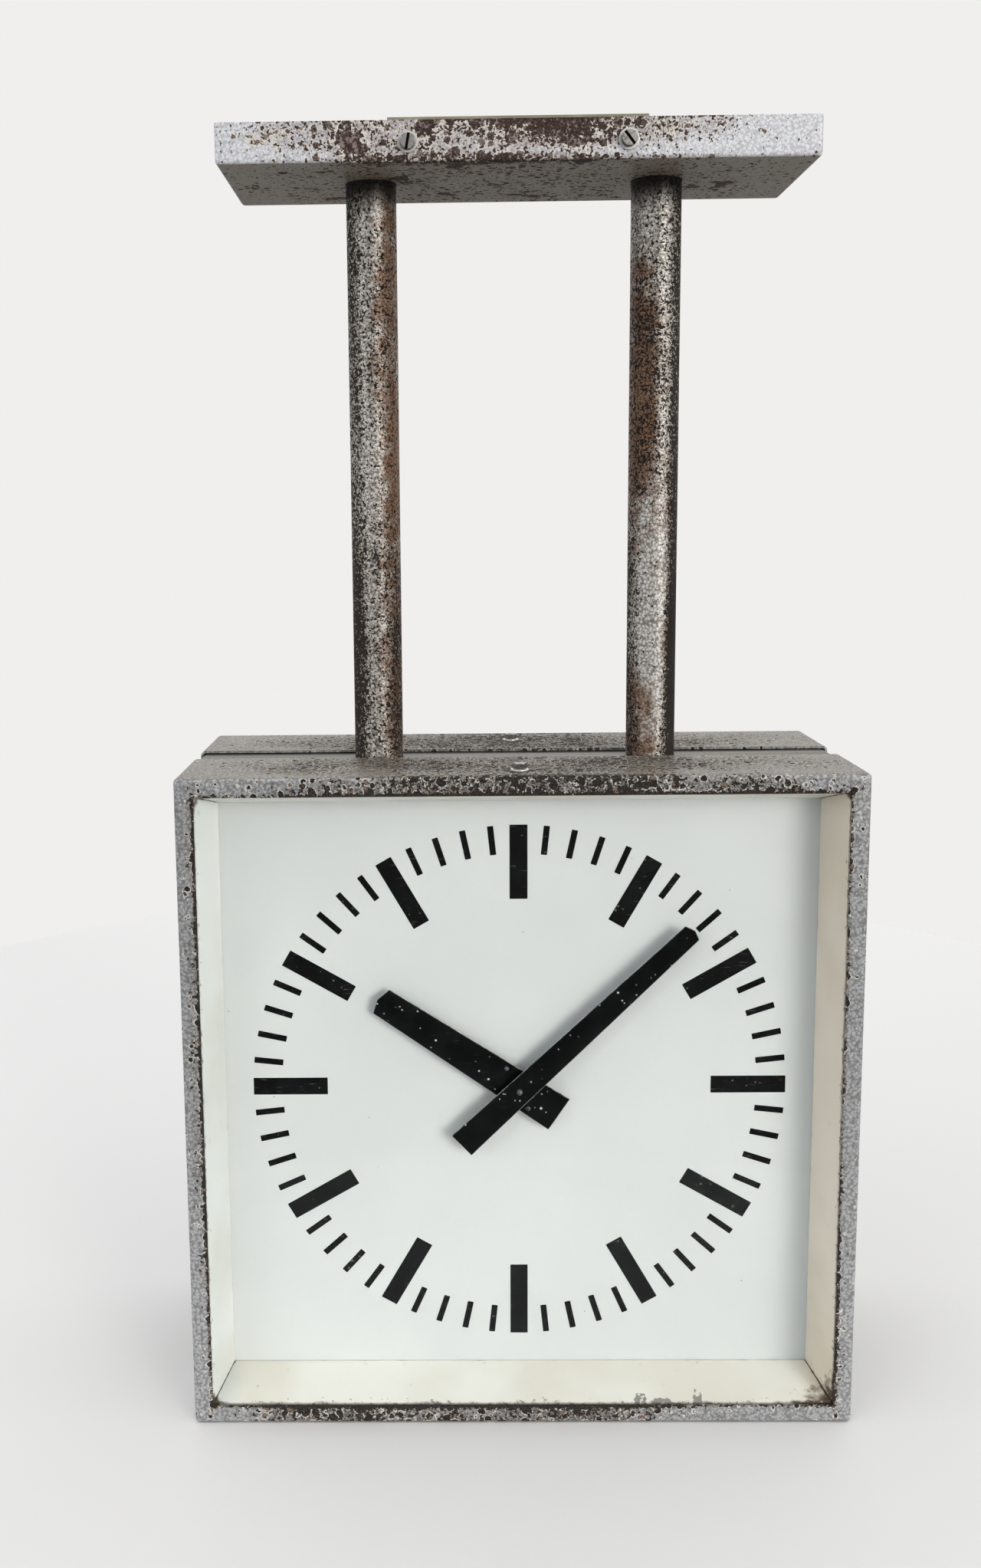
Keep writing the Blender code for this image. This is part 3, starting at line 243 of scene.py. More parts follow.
# Stoved hammertone enamel on sheet steel: aluminium flake gathers into small cells with darker borders, so
# the eye gets a silvery grain. It has pitted with rust, which shows as dark specks, and where it has lifted
# there are brown blobs with pale feathered rims.
def wornEnamel(name, look, side=1):
    material, tree, shader, place = startMaterial(name, look["rough"], look["metal"])

    # how worn it is from place to place
    drift = addNode(
        tree,
        "ShaderNodeTexNoise",
        {"Vector": place, "Scale": per(look["patch"]), "Detail": 3, "Roughness": 0.6},
    ).outputs[0]
    wear = addNode(
        tree,
        "ShaderNodeMath",
        {0: drift, 1: look["drift"], 2: look["age"] - look["drift"] / 2},
        operation="MULTIPLY_ADD",
    ).outputs[0]
    if look.get("zones"):
        wear = addNode(
            tree,
            "ShaderNodeMath",
            {0: blobs(tree, place, look["zones"], side), 1: 1.0, 2: wear},
            operation="MULTIPLY_ADD",
        ).outputs[0]
    if look.get("lip"):
        most, depth = squareReach(tree, place)[2:]
        window = caseHalf - bezelBorder
        nearLip = addNode(
            tree, "ShaderNodeMapRange", {0: most, 1: window + look["lip"] * mm, 2: window}, **smooth
        ).outputs[0]
        onFace = addNode(
            tree, "ShaderNodeMapRange", {0: depth, 1: -faceY - 4 * mm, 2: -faceY - 2 * mm}, **smooth
        ).outputs[0]
        lipWear = addNode(tree, "ShaderNodeMath", {0: nearLip, 1: onFace}, operation="MULTIPLY").outputs[0]
        wear = addNode(
            tree, "ShaderNodeMath", {0: lipWear, 1: look["lipWear"], 2: wear}, operation="MULTIPLY_ADD"
        ).outputs[0]

    # the enamel itself
    cellFacts = {"Vector": place, "Scale": per(look["fleck"]), "Smoothness": 0.4}
    cells = addNode(tree, "ShaderNodeTexVoronoi", cellFacts, feature="SMOOTH_F1").outputs["Distance"]
    grain = addNode(
        tree,
        "ShaderNodeTexNoise",
        {"Vector": place, "Scale": per(look["fleck"] * 0.55), "Detail": 3, "Roughness": 0.7},
    ).outputs[0]
    tone = addNode(
        tree, "ShaderNodeMath", {0: cells, 1: 0.7, 2: grain}, operation="MULTIPLY_ADD"
    ).outputs[0]
    fade = addNode(tree, "ShaderNodeMapRange", {0: tone, 1: 0.66, 2: 1.02}, **smooth).outputs[0]
    paint = addNode(
        tree,
        "ShaderNodeMix",
        {0: fade, 6: colour(look["paint"]), 7: colour(look["border"])},
        data_type="RGBA",
    ).outputs[2]
    glint = addNode(tree, "ShaderNodeMapRange", {0: grain, 1: 0.6, 2: 0.7}, **smooth).outputs[0]
    paint = addNode(
        tree, "ShaderNodeMix", {0: glint, 6: paint, 7: colour(look["glint"])}, data_type="RGBA"
    ).outputs[2]
    fade = addNode(tree, "ShaderNodeMapRange", {0: wear, 1: 0.0, 2: 0.7}, **smooth).outputs[0]
    paint = addNode(
        tree,
        "ShaderNodeMix",
        {0: fade, 6: paint, 7: colour(look["stain"])},
        data_type="RGBA",
        blend_type="MULTIPLY",
    ).outputs[2]

    # lifted blobs, each its own size, with a pale rim and brown inside
    bend = addNode(
        tree,
        "ShaderNodeTexNoise",
        {"Vector": place, "Scale": per(look["blob"] * 0.8), "Detail": 3, "Roughness": 0.6},
    ).outputs[0]
    spread = look["blob"] * 0.7 * mm
    bent = addNode(
        tree,
        "ShaderNodeVectorMath",
        {0: bend, 1: (spread, spread, -spread), 2: place},
        operation="MULTIPLY_ADD",
    ).outputs[0]
    spots = addNode(tree, "ShaderNodeTexVoronoi", {"Vector": bent, "Scale": per(look["blob"])})
    chance = addNode(tree, "ShaderNodeSeparateColor", {"Color": spots.outputs["Color"]})
    reach = addNode(
        tree, "ShaderNodeMath", {0: wear, 1: look["blobGain"], 2: -0.26}, operation="MULTIPLY_ADD"
    ).outputs[0]
    reach = addNode(
        tree, "ShaderNodeMath", {0: chance.outputs["Red"], 1: 0.28, 2: reach}, operation="MULTIPLY_ADD"
    ).outputs[0]
    noise = addNode(
        tree,
        "ShaderNodeTexNoise",
        {"Vector": place, "Scale": per(look["blob"] * 0.35), "Detail": 4, "Roughness": 0.7},
    ).outputs[0]
    reach = addNode(
        tree, "ShaderNodeMath", {0: noise, 1: 0.5, 2: reach}, operation="MULTIPLY_ADD"
    ).outputs[0]
    inside = addNode(
        tree, "ShaderNodeMath", {0: reach, 1: spots.outputs["Distance"]}, operation="SUBTRACT"
    ).outputs[0]
    bareMask = addNode(tree, "ShaderNodeMapRange", {0: inside, 1: 0.0, 2: 0.05}, **smooth).outputs[0]
    rimMask = addNode(tree, "ShaderNodeMapRange", {0: inside, 1: -0.12, 2: 0.0}, **smooth).outputs[0]
    level = addNode(
        tree, "ShaderNodeMath", {0: chance.outputs["Green"], 1: 0.5, 2: grain}, operation="MULTIPLY_ADD"
    ).outputs[0]
    bareTone = addNode(tree, "ShaderNodeMapRange", {0: level, 1: 0.55, 2: 1.0}, **smooth).outputs[0]
    bare = addNode(
        tree,
        "ShaderNodeMix",
        {0: bareTone, 6: colour(look["bareDark"]), 7: colour(look["bareLight"])},
        data_type="RGBA",
    ).outputs[2]
    shade = addNode(
        tree, "ShaderNodeMix", {0: rimMask, 6: paint, 7: colour(look["rim"])}, data_type="RGBA"
    ).outputs[2]
    shade = addNode(tree, "ShaderNodeMix", {0: bareMask, 6: shade, 7: bare}, data_type="RGBA").outputs[2]

    # whole islands of paint gone
    if look.get("island"):
        noise = addNode(
            tree,
            "ShaderNodeTexNoise",
            {"Vector": place, "Scale": per(look["island"]), "Detail": 6, "Roughness": 0.62},
        ).outputs[0]
        gone = addNode(
            tree, "ShaderNodeMath", {0: wear, 1: look["islandGain"], 2: noise}, operation="MULTIPLY_ADD"
        ).outputs[0]
        fade = addNode(tree, "ShaderNodeMapRange", {0: gone, 1: 0.62, 2: 0.645}, **smooth).outputs[0]
        shade = addNode(
            tree, "ShaderNodeMix", {0: fade, 6: shade, 7: colour(look["rim"])}, data_type="RGBA"
        ).outputs[2]
        islandMask = addNode(tree, "ShaderNodeMapRange", {0: gone, 1: 0.65, 2: 0.67}, **smooth).outputs[0]
        noise = addNode(
            tree, "ShaderNodeTexNoise", {"Vector": place, "Scale": per(3.0), "Detail": 4, "Roughness": 0.6}
        ).outputs[0]
        fade = addNode(tree, "ShaderNodeMapRange", {0: noise, 1: 0.42, 2: 0.6}, **smooth).outputs[0]
        primer = addNode(
            tree,
            "ShaderNodeMix",
            {0: fade, 6: colour(look["bareDark"]), 7: colour(look["bareLight"])},
            data_type="RGBA",
        ).outputs[2]
        shade = addNode(
            tree, "ShaderNodeMix", {0: islandMask, 6: shade, 7: primer}, data_type="RGBA"
        ).outputs[2]
        bareMask = addNode(
            tree, "ShaderNodeMath", {0: bareMask, 1: islandMask}, operation="MAXIMUM"
        ).outputs[0]

    # rust pits in two sizes
    pitMask = None
    for size, bias in ((look["pit"], 0.0), (look["pit"] * 0.5, 0.02)):
        noise = addNode(
            tree, "ShaderNodeTexNoise", {"Vector": place, "Scale": per(size), "Detail": 2, "Roughness": 0.5}
        ).outputs[0]
        level = addNode(
            tree, "ShaderNodeMath", {0: wear, 1: look["pitGain"], 2: noise}, operation="MULTIPLY_ADD"
        ).outputs[0]
        spots = addNode(
            tree,
            "ShaderNodeMapRange",
            {0: level, 1: look["pitFrom"] + bias, 2: look["pitFrom"] + 0.035 + bias},
            **smooth,
        ).outputs[0]
        if pitMask is None:
            pitMask = spots
        else:
            pitMask = addNode(
                tree, "ShaderNodeMath", {0: pitMask, 1: spots}, operation="MAXIMUM"
            ).outputs[0]
    fade = addNode(tree, "ShaderNodeMapRange", {0: grain, 1: 0.4, 2: 0.65}, **smooth).outputs[0]
    pitTone = addNode(
        tree,
        "ShaderNodeMix",
        {0: fade, 6: colour(look["pitDark"]), 7: colour(look["pitLight"])},
        data_type="RGBA",
    ).outputs[2]
    shade = addNode(tree, "ShaderNodeMix", {0: pitMask, 6: shade, 7: pitTone}, data_type="RGBA").outputs[2]

    # brown rust washed over the enamel
    if look.get("rustZones"):
        noise = addNode(
            tree, "ShaderNodeTexNoise", {"Vector": place, "Scale": per(14), "Detail": 6, "Roughness": 0.7}
        ).outputs[0]
        washed = addNode(
            tree, "ShaderNodeMath", {0: noise, 1: 2.2, 2: -1.15}, operation="MULTIPLY_ADD"
        ).outputs[0]
        washed = addNode(
            tree,
            "ShaderNodeMath",
            {0: blobs(tree, place, look["rustZones"], side), 1: 1.0, 2: washed},
            operation="MULTIPLY_ADD",
        ).outputs[0]
        fade = addNode(tree, "ShaderNodeMapRange", {0: washed, 1: 0.0, 2: 0.85}, **smooth).outputs[0]
        shade = addNode(
            tree,
            "ShaderNodeMix",
            {0: fade, 6: shade, 7: colour(look["rust"])},
            data_type="RGBA",
            blend_type="MULTIPLY",
        ).outputs[2]
    # a darker tint past one height, full at the second, in millimetres: on the tops of the hoods and the
    # band; on the canopy's underside it is dirt and painted shade; at the tops of the tubes it is painted
    # shadow under the canopy
    if look.get("heightTint"):
        tintStart, tintFull, tint = look["heightTint"]
        height = addNode(tree, "ShaderNodeSeparateXYZ", {"Vector": place}).outputs["Z"]
        fade = addNode(
            tree, "ShaderNodeMapRange", {0: height, 1: tintStart * mm, 2: tintFull * mm}, **smooth
        ).outputs[0]
        shade = addNode(
            tree,
            "ShaderNodeMix",
            {0: fade, 6: shade, 7: colour(tint)},
            data_type="RGBA",
            blend_type="MULTIPLY",
        ).outputs[2]
    # painted shadow: black near the strip's edges, standing in for the deep shade in the gap where the
    # strip meets the hoods
    if look.get("gapShadow"):
        depth = squareReach(tree, place)[3]
        start, full = look["gapShadow"]
        fade = addNode(
            tree, "ShaderNodeMapRange", {0: depth, 1: start * mm, 2: full * mm}, **smooth
        ).outputs[0]
        shade = addNode(
            tree, "ShaderNodeMix", {0: fade, 6: shade, 7: colour(look["gapShadowColour"])}, data_type="RGBA"
        ).outputs[2]
    tree.links.new(shade, shader.inputs["Base Color"])

    opened = addNode(tree, "ShaderNodeMath", {0: pitMask, 1: bareMask}, operation="MAXIMUM").outputs[0]
    rough = addNode(tree, "ShaderNodeMapRange", {"Value": opened, "To Min": look["rough"], "To Max": 0.9})
    tree.links.new(rough.outputs[0], shader.inputs["Roughness"])
    dull = addNode(tree, "ShaderNodeMapRange", {"Value": opened, "To Min": look["metal"], "To Max": 0.0})
    tree.links.new(dull.outputs[0], shader.inputs["Metallic"])
    # the cells stand a little proud, and pits and bare metal lie below them
    height = 1.0
    for mask, rise in ((tone, -0.35), (pitMask, -0.7), (bareMask, -0.4)):
        height = addNode(
            tree, "ShaderNodeMath", {0: mask, 1: rise, 2: height}, operation="MULTIPLY_ADD"
        ).outputs[0]
    bump = addNode(
        tree, "ShaderNodeBump", {"Height": height, "Strength": 0.8, "Distance": look["relief"] * mm}
    )
    tree.links.new(bump.outputs[0], shader.inputs["Normal"])
    return material


# Sizes are in millimetres. Wear runs from below 0, which is sound, to 1, and pits and blobs come with it. A
# zone is a centre, three radii and the wear it adds.
hoodLook = {
    "rough": 0.42, "metal": 0.2, "patch": 40, "drift": 0.6, "age": -0.08,
    "fleck": 2.2, "paint": "#B0B2B5", "border": "#7D7C7B", "glint": "#E6E7E8", "stain": "#C2B5A6",
    "blob": 6.0, "blobGain": 0.72, "rim": "#E2E0DA", "bareDark": "#17120F", "bareLight": "#7A6C60",
    "pit": 2.6, "pitGain": 0.4, "pitFrom": 0.7, "pitDark": "#120E0C", "pitLight": "#3D332B", "relief": 0.45,
    "lip": 3.2, "lipWear": 0.55,
    "zones": [
        ((20, -98, 441), (250, 14, 15), 0.5),
        ((-50, -98, 7), (200, 14, 15), 0.5),
        ((214, -98, 60), (8, 14, 80), 0.3),
        ((-214, -98, 250), (9, 14, 290), 0.27),
        ((0, -50, 456), (340, 75, 14), 0.53),
        ((0, -76, 450), (11, 11, 6), 0.25),
    ],
    "heightTint": (448.6, 449.8, "#DED5C6"),
}
bandLook = {
    "rough": 0.4, "metal": 0.1, "patch": 60, "drift": 0.4, "age": -0.3,
    "fleck": 1.2, "paint": "#A3A29E", "border": "#8E8C87", "glint": "#ABAAA6", "stain": "#C9C2B6",
    "blob": 5, "blobGain": 0.4, "rim": "#A5A29A", "bareDark": "#2C2622", "bareLight": "#5E564F",
    "pit": 2.2, "pitGain": 0.12, "pitFrom": 0.64, "pitDark": "#2A2421", "pitLight": "#51463E",
    # gapShadow paints the shade of the gap between the strip and the hoods black
    "relief": 0.12, "heightTint": (446.6, 447.8, "#C8C1B4"), "gapShadow": (8.5, 11.0), "gapShadowColour": "#14110F",
}
tubeLook = {
    "rough": 0.4, "metal": 0.25, "patch": 40, "drift": 0.5, "age": 0.2,
    "fleck": 1.9, "paint": "#E0DED9", "border": "#827C75", "glint": "#F6F5F2", "stain": "#C2B5A5",
    "blob": 3.2, "blobGain": 0.3, "rim": "#DEDBD5", "bareDark": "#1F1915", "bareLight": "#6A5C50",
    "pit": 2.3, "pitGain": 0.34, "pitFrom": 0.64, "pitDark": "#0F0B09", "pitLight": "#382D25",
    # the dark tint at the tops of the tubes is painted shadow under the canopy
    "relief": 0.35, "rust": "#A07A5C", "heightTint": (812, 833, "#3A342F"),
}
# the zones and rust along the tube sides, near x -78 and -113, are wear and rust, and also painted shade
# where the round tube turns from the light
leftTubeLook = {
    **tubeLook,
    "zones": [
        ((-113, -8, 640), (14, 40, 340), 0.26), ((-113, -8, 500), (16, 40, 130), 0.27),
        ((-78, -8, 490), (12, 40, 110), 0.25),
    ],
    "rustZones": [((-76, -8, 740), (28, 70, 170), 0.75), ((-76, -8, 540), (26, 70, 170), 0.65)],
}
# the zones and rust along the tube sides, near x 78 and 114, are wear and rust, and also painted shade
# where the round tube turns from the light
rightTubeLook = {
    **tubeLook,
    "zones": [
        ((92, -17, 545), (16, 40, 120), -0.25), ((84, -10, 690), (26, 40, 110), 0.1),
        ((114, -6, 640), (13, 40, 400), 0.45), ((78, -8, 520), (12, 40, 120), 0.3),
        ((114, -6, 480), (18, 40, 130), 0.5),
    ],
    "rustZones": [
        ((74, -10, 715), (31, 70, 110), 0.9), ((80, -14, 640), (28, 70, 70), 0.5),
        ((78, -14, 470), (26, 60, 60), 0.6), ((114, -8, 560), (18, 60, 160), 0.5),
    ],
}
canopyLook = {
    "rough": 0.45, "metal": 0.08, "patch": 30, "drift": 0.7, "age": -0.22,
    "fleck": 1.9, "paint": "#EDEFF4", "border": "#C3C4C8", "glint": "#FAFAFC", "stain": "#CDBDB6",
    "blob": 6.5, "blobGain": 0.62, "rim": "#E6E1D6", "bareDark": "#33251F", "bareLight": "#8E7D78",
    "island": 30, "islandGain": 0.17,
    "pit": 2.8, "pitGain": 0.18, "pitFrom": 0.64, "pitDark": "#231915", "pitLight": "#5A443A",
    "relief": 0.35,
    "zones": [
        ((-55, -64, 858), (160, 20, 34), 0.63),
        ((70, -64, 862), (120, 20, 26), 0.57),
        ((0, -64, 838), (170, 14, 4), 0.25),
        ((-40, 64, 862), (130, 20, 28), 0.6),
        ((0, 0, 832), (300, 130, 12), 0.5),
    ],
    # the darker underside is dirt and painted shade
    "heightTint": (837.2, 836.2, "#8F8576"),
}

hammertone = {
    "front": wornEnamel("hammertone_enamel_front", hoodLook),
    "rear": wornEnamel("hammertone_enamel_rear", hoodLook, -1),
}
bandEnamel = wornEnamel("smooth_grey_enamel", bandLook)
tubeEnamel = {
    "left": wornEnamel("hammertone_enamel_left_tube", leftTubeLook),
    "right": wornEnamel("hammertone_enamel_right_tube", rightTubeLook),
}
canopyEnamel = wornEnamel("flaking_grey_enamel", canopyLook)


# Brushed cream enamel on the reveal: a soft sheen, brown grime that has crept out of the mitres, and chips
# along the front edge where the glass has been lifted out.
revealLook = {
    "rough": 0.38, "enamel": "#E6E6DE", "shade": "#DAD8CD", "grime": "#5A4836", "chip": "#8A8781",
    "mitre": 1.6, "mitreSoft": 9, "chipSize": 3.5, "speck": 14, "speckColour": "#4A3A2E",
    # where the haze, the line at the lip, the chips and the line at the dial start and are full
    "depths": ((-faceY, (12, 5)), (-faceY, (6.6, 5.0)), (-faceY, (13, 5)), (-dialY, (-1.3, -0.3))),
    # painted light and shade: a cooler tint on the left wall, where the key light falls, and a warmer,
    # darker tint on the right wall, which lies in shade
    "cool": "#E7EDF3", "coolZones": [((-216, -76, 227), (30, 60, 500), 1.0)],
    "warm": "#F8EEE4", "warmZones": [((216, -76, 227), (30, 60, 500), 1.0)],
    "chipZones": [
        ((82, -89, 13), (6, 8, 9), 0.27), ((97, -93, 13), (10, 5, 9), 0.26),
        ((121, -88, 13), (5, 10, 9), 0.28), ((-206, -92, 437), (9, 7, 9), 0.27),
    ],
    "grimeZones": [((209, -92, 15), (30, 20, 24), 0.27), ((-206, -92, 438), (20, 14, 20), 0.2)],
}


def creamEnamel():
    look = revealLook
    material, tree, shader, place = startMaterial("cream_enamel", look["rough"])
    across, up, most, depth = squareReach(tree, place)
    apart = addNode(tree, "ShaderNodeMath", {0: across, 1: up}, operation="SUBTRACT").outputs[0]
    fromMitre = addNode(tree, "ShaderNodeMath", {0: apart}, operation="ABSOLUTE").outputs[0]
    cloud = addNode(
        tree, "ShaderNodeTexNoise", {"Vector": place, "Scale": per(7), "Detail": 6, "Roughness": 0.65}
    ).outputs[0]
    tint = addNode(tree, "ShaderNodeTexNoise", {"Vector": place, "Scale": per(90), "Detail": 3}).outputs[0]
    fade = addNode(tree, "ShaderNodeMapRange", {0: tint, 1: 0.4, 2: 0.65}, **smooth).outputs[0]
    shade = addNode(
        tree,
        "ShaderNodeMix",
        {0: fade, 6: colour(look["enamel"]), 7: colour(look["shade"])},
        data_type="RGBA",
    ).outputs[2]
    # the tints for each wall are painted light and shade
    for cast in ("cool", "warm"):
        shade = addNode(
            tree,
            "ShaderNodeMix",
            {0: blobs(tree, place, look[cast + "Zones"], 1), 6: shade, 7: colour(look[cast])},
            data_type="RGBA",
            blend_type="MULTIPLY",
        ).outputs[2]

    # grime: a line in the mitre, a haze beside it, and a line behind the lip
    line = addNode(
        tree, "ShaderNodeMapRange", {0: fromMitre, 1: look["mitre"] * mm, 2: 0.0}, **smooth
    ).outputs[0]
    haze = addNode(
        tree, "ShaderNodeMapRange", {0: fromMitre, 1: look["mitreSoft"] * mm, 2: 0.0}, **smooth
    ).outputs[0]
    behind = []
    for plane, (start, full) in look["depths"]:
        facts = {0: depth, 1: plane - start * mm, 2: plane - full * mm}
        behind.append(addNode(tree, "ShaderNodeMapRange", facts, **smooth).outputs[0])
    front, lipLine, edge, rearLine = behind
    corner = addNode(tree, "ShaderNodeMath", {0: haze, 1: front}, operation="MULTIPLY").outputs[0]
    grime = cloud
    for mask, amount in ((corner, 0.5), (line, 0.35), (lipLine, 0.2), (rearLine, 0.22)):
        grime = addNode(
            tree, "ShaderNodeMath", {0: mask, 1: amount, 2: grime}, operation="MULTIPLY_ADD"
        ).outputs[0]
    corners = blobs(tree, place, look["grimeZones"], 1)
    grime = addNode(tree, "ShaderNodeMath", {0: grime, 1: corners}, operation="ADD").outputs[0]
    grimeMask = addNode(tree, "ShaderNodeMapRange", {0: grime, 1: 0.62, 2: 0.95}, **smooth).outputs[0]
    shade = addNode(
        tree, "ShaderNodeMix", {0: grimeMask, 6: shade, 7: colour(look["grime"])}, data_type="RGBA"
    ).outputs[2]

    # chips along the front edge, and a few specks
    ragged = addNode(
        tree,
        "ShaderNodeTexNoise",
        {"Vector": place, "Scale": per(look["chipSize"]), "Detail": 4, "Roughness": 0.6},
    ).outputs[0]
    chipped = addNode(
        tree, "ShaderNodeMath", {0: edge, 1: 0.2, 2: ragged}, operation="MULTIPLY_ADD"
    ).outputs[0]
    knocks = blobs(tree, place, look["chipZones"], 1)
    chipped = addNode(tree, "ShaderNodeMath", {0: chipped, 1: knocks}, operation="ADD").outputs[0]
    chipMask = addNode(tree, "ShaderNodeMapRange", {0: chipped, 1: 0.8, 2: 0.82}, **smooth).outputs[0]
    shade = addNode(
        tree, "ShaderNodeMix", {0: chipMask, 6: shade, 7: colour(look["chip"])}, data_type="RGBA"
    ).outputs[2]
    dots = addNode(
        tree, "ShaderNodeTexVoronoi", {"Vector": place, "Scale": per(look["speck"])}
    ).outputs["Distance"]
    fade = addNode(tree, "ShaderNodeMapRange", {0: dots, 1: 0.028, 2: 0.016}, **smooth).outputs[0]
    shade = addNode(
        tree, "ShaderNodeMix", {0: fade, 6: shade, 7: colour(look["speckColour"])}, data_type="RGBA"
    ).outputs[2]
    tree.links.new(shade, shader.inputs["Base Color"])
    rough = addNode(
        tree, "ShaderNodeMapRange", {"Value": grimeMask, "To Min": look["rough"], "To Max": 0.8}
    )
    tree.links.new(rough.outputs[0], shader.inputs["Roughness"])
    height = addNode(
        tree, "ShaderNodeMath", {0: chipMask, 1: -1.0, 2: cloud}, operation="MULTIPLY_ADD"
    ).outputs[0]
    bump = addNode(tree, "ShaderNodeBump", {"Height": height, "Strength": 0.35, "Distance": 0.15 * mm})
    tree.links.new(bump.outputs[0], shader.inputs["Normal"])
    return material


# Satin white lacquer on a flat sheet dial: even, slightly cool, with fly specks and a few hair scratches
dialLook = {
    "light": "#C8CDCC", "dark": "#C3C8C8", "drift": 140, "rough": 0.42, "peel": 4,
    "speck": "#5B5348", "speckEvery": 26, "hair": "#8E8C86", "hairEvery": 30,
}


def dialLacquer():
    look = dialLook
    material, tree, shader, place = startMaterial("satin_white_lacquer", look["rough"])
    cloud = addNode(
        tree, "ShaderNodeTexNoise", {"Vector": place, "Scale": per(look["drift"]), "Detail": 3}
    ).outputs[0]
    fade = addNode(tree, "ShaderNodeMapRange", {0: cloud, 1: 0.35, 2: 0.65}, **smooth).outputs[0]
    shade = addNode(
        tree,
        "ShaderNodeMix",
        {0: fade, 6: colour(look["light"]), 7: colour(look["dark"])},
        data_type="RGBA",
    ).outputs[2]
    dots = addNode(
        tree, "ShaderNodeTexVoronoi", {"Vector": place, "Scale": per(look["speckEvery"])}
    ).outputs["Distance"]
    fade = addNode(tree, "ShaderNodeMapRange", {0: dots, 1: 0.022, 2: 0.012}, **smooth).outputs[0]
    shade = addNode(
        tree, "ShaderNodeMix", {0: fade, 6: shade, 7: colour(look["speck"])}, data_type="RGBA"
    ).outputs[2]
    stretch = addNode(
        tree, "ShaderNodeMapping", {"Vector": place, "Rotation": (0, 0.9, 0), "Scale": (1, 1, 0.04)}
    ).outputs[0]
    hairs = addNode(
        tree, "ShaderNodeTexVoronoi", {"Vector": stretch, "Scale": per(look["hairEvery"])}
    ).outputs["Distance"]
    fade = addNode(tree, "ShaderNodeMapRange", {0: hairs, 1: 0.02, 2: 0.008}, **smooth).outputs[0]
    shade = addNode(
        tree, "ShaderNodeMix", {0: fade, 6: shade, 7: colour(look["hair"])}, data_type="RGBA"
    ).outputs[2]
    tree.links.new(shade, shader.inputs["Base Color"])
    orange = addNode(
        tree, "ShaderNodeTexNoise", {"Vector": place, "Scale": per(look["peel"]), "Detail": 2}
    ).outputs[0]
    bump = addNode(tree, "ShaderNodeBump", {"Height": orange, "Strength": 0.08, "Distance": 0.05 * mm})
    tree.links.new(bump.outputs[0], shader.inputs["Normal"])
    return material


# Black lacquer on the hands and printed marks: near black, softly glossy, with dust and fine scratches
blackLook = {
    "deep": "#020303", "faded": "#0A0C0D", "drift": 16, "dust": "#D0D0CC", "dustEvery": 5.5,
    "scratch": "#6D6E6C", "scratchGap": 9, "peel": 1.2,
}


def blackLacquer(name, dust, scratch, roughness, sheen):
    look = blackLook
    material, tree, shader, place = startMaterial(name, roughness)
    shader.inputs["Specular IOR Level"].default_value = sheen
    dots = addNode(
        tree, "ShaderNodeTexVoronoi", {"Vector": place, "Scale": per(look["dustEvery"])}
    ).outputs["Distance"]
    chance = addNode(
        tree, "ShaderNodeTexNoise", {"Vector": place, "Scale": per(look["drift"]), "Detail": 2}
    ).outputs[0]
    near = addNode(
        tree, "ShaderNodeMath", {0: chance, 1: 0.45, 2: -0.13}, operation="MULTIPLY_ADD"
    ).outputs[0]
    gap = addNode(tree, "ShaderNodeMath", {0: near, 1: dots}, operation="SUBTRACT").outputs[0]
    dusty = addNode(tree, "ShaderNodeMapRange", {0: gap, 1: 0.0, 2: 0.03}, **smooth).outputs[0]
    fade = addNode(tree, "ShaderNodeMapRange", {0: chance, 1: 0.4, 2: 0.7}, **smooth).outputs[0]
    shade = addNode(
        tree,
        "ShaderNodeMix",
        {0: fade, 6: colour(look["deep"]), 7: colour(look["faded"])},
        data_type="RGBA",
    ).outputs[2]
    specks = addNode(tree, "ShaderNodeMath", {0: dusty, 1: dust}, operation="MULTIPLY").outputs[0]
    shade = addNode(
        tree, "ShaderNodeMix", {0: specks, 6: shade, 7: colour(look["dust"])}, data_type="RGBA"
    ).outputs[2]
    stretch = addNode(
        tree, "ShaderNodeMapping", {"Vector": place, "Rotation": (0, 0.35, 0), "Scale": (1, 1, 14)}
    ).outputs[0]
    lines = addNode(
        tree, "ShaderNodeTexNoise", {"Vector": stretch, "Scale": per(look["scratchGap"]), "Detail": 5}
    ).outputs[0]
    fade = addNode(tree, "ShaderNodeMapRange", {0: lines, 1: 0.66, 2: 0.72}, **smooth).outputs[0]
    scored = addNode(tree, "ShaderNodeMath", {0: fade, 1: scratch}, operation="MULTIPLY").outputs[0]
    shade = addNode(
        tree, "ShaderNodeMix", {0: scored, 6: shade, 7: colour(look["scratch"])}, data_type="RGBA"
    ).outputs[2]
    tree.links.new(shade, shader.inputs["Base Color"])
    fine = addNode(
        tree, "ShaderNodeTexNoise", {"Vector": place, "Scale": per(look["peel"]), "Detail": 3}
    ).outputs[0]
    bump = addNode(tree, "ShaderNodeBump", {"Height": fine, "Strength": 0.12, "Distance": 0.05 * mm})
    tree.links.new(bump.outputs[0], shader.inputs["Normal"])
    return material


# Plain metals: the colour drifts a little, oxide spots are rougher, and fine turned or rolled lines show
# the colour of a painted shade in screw slots and behind screw heads
slotShadeColour = "#211C18"


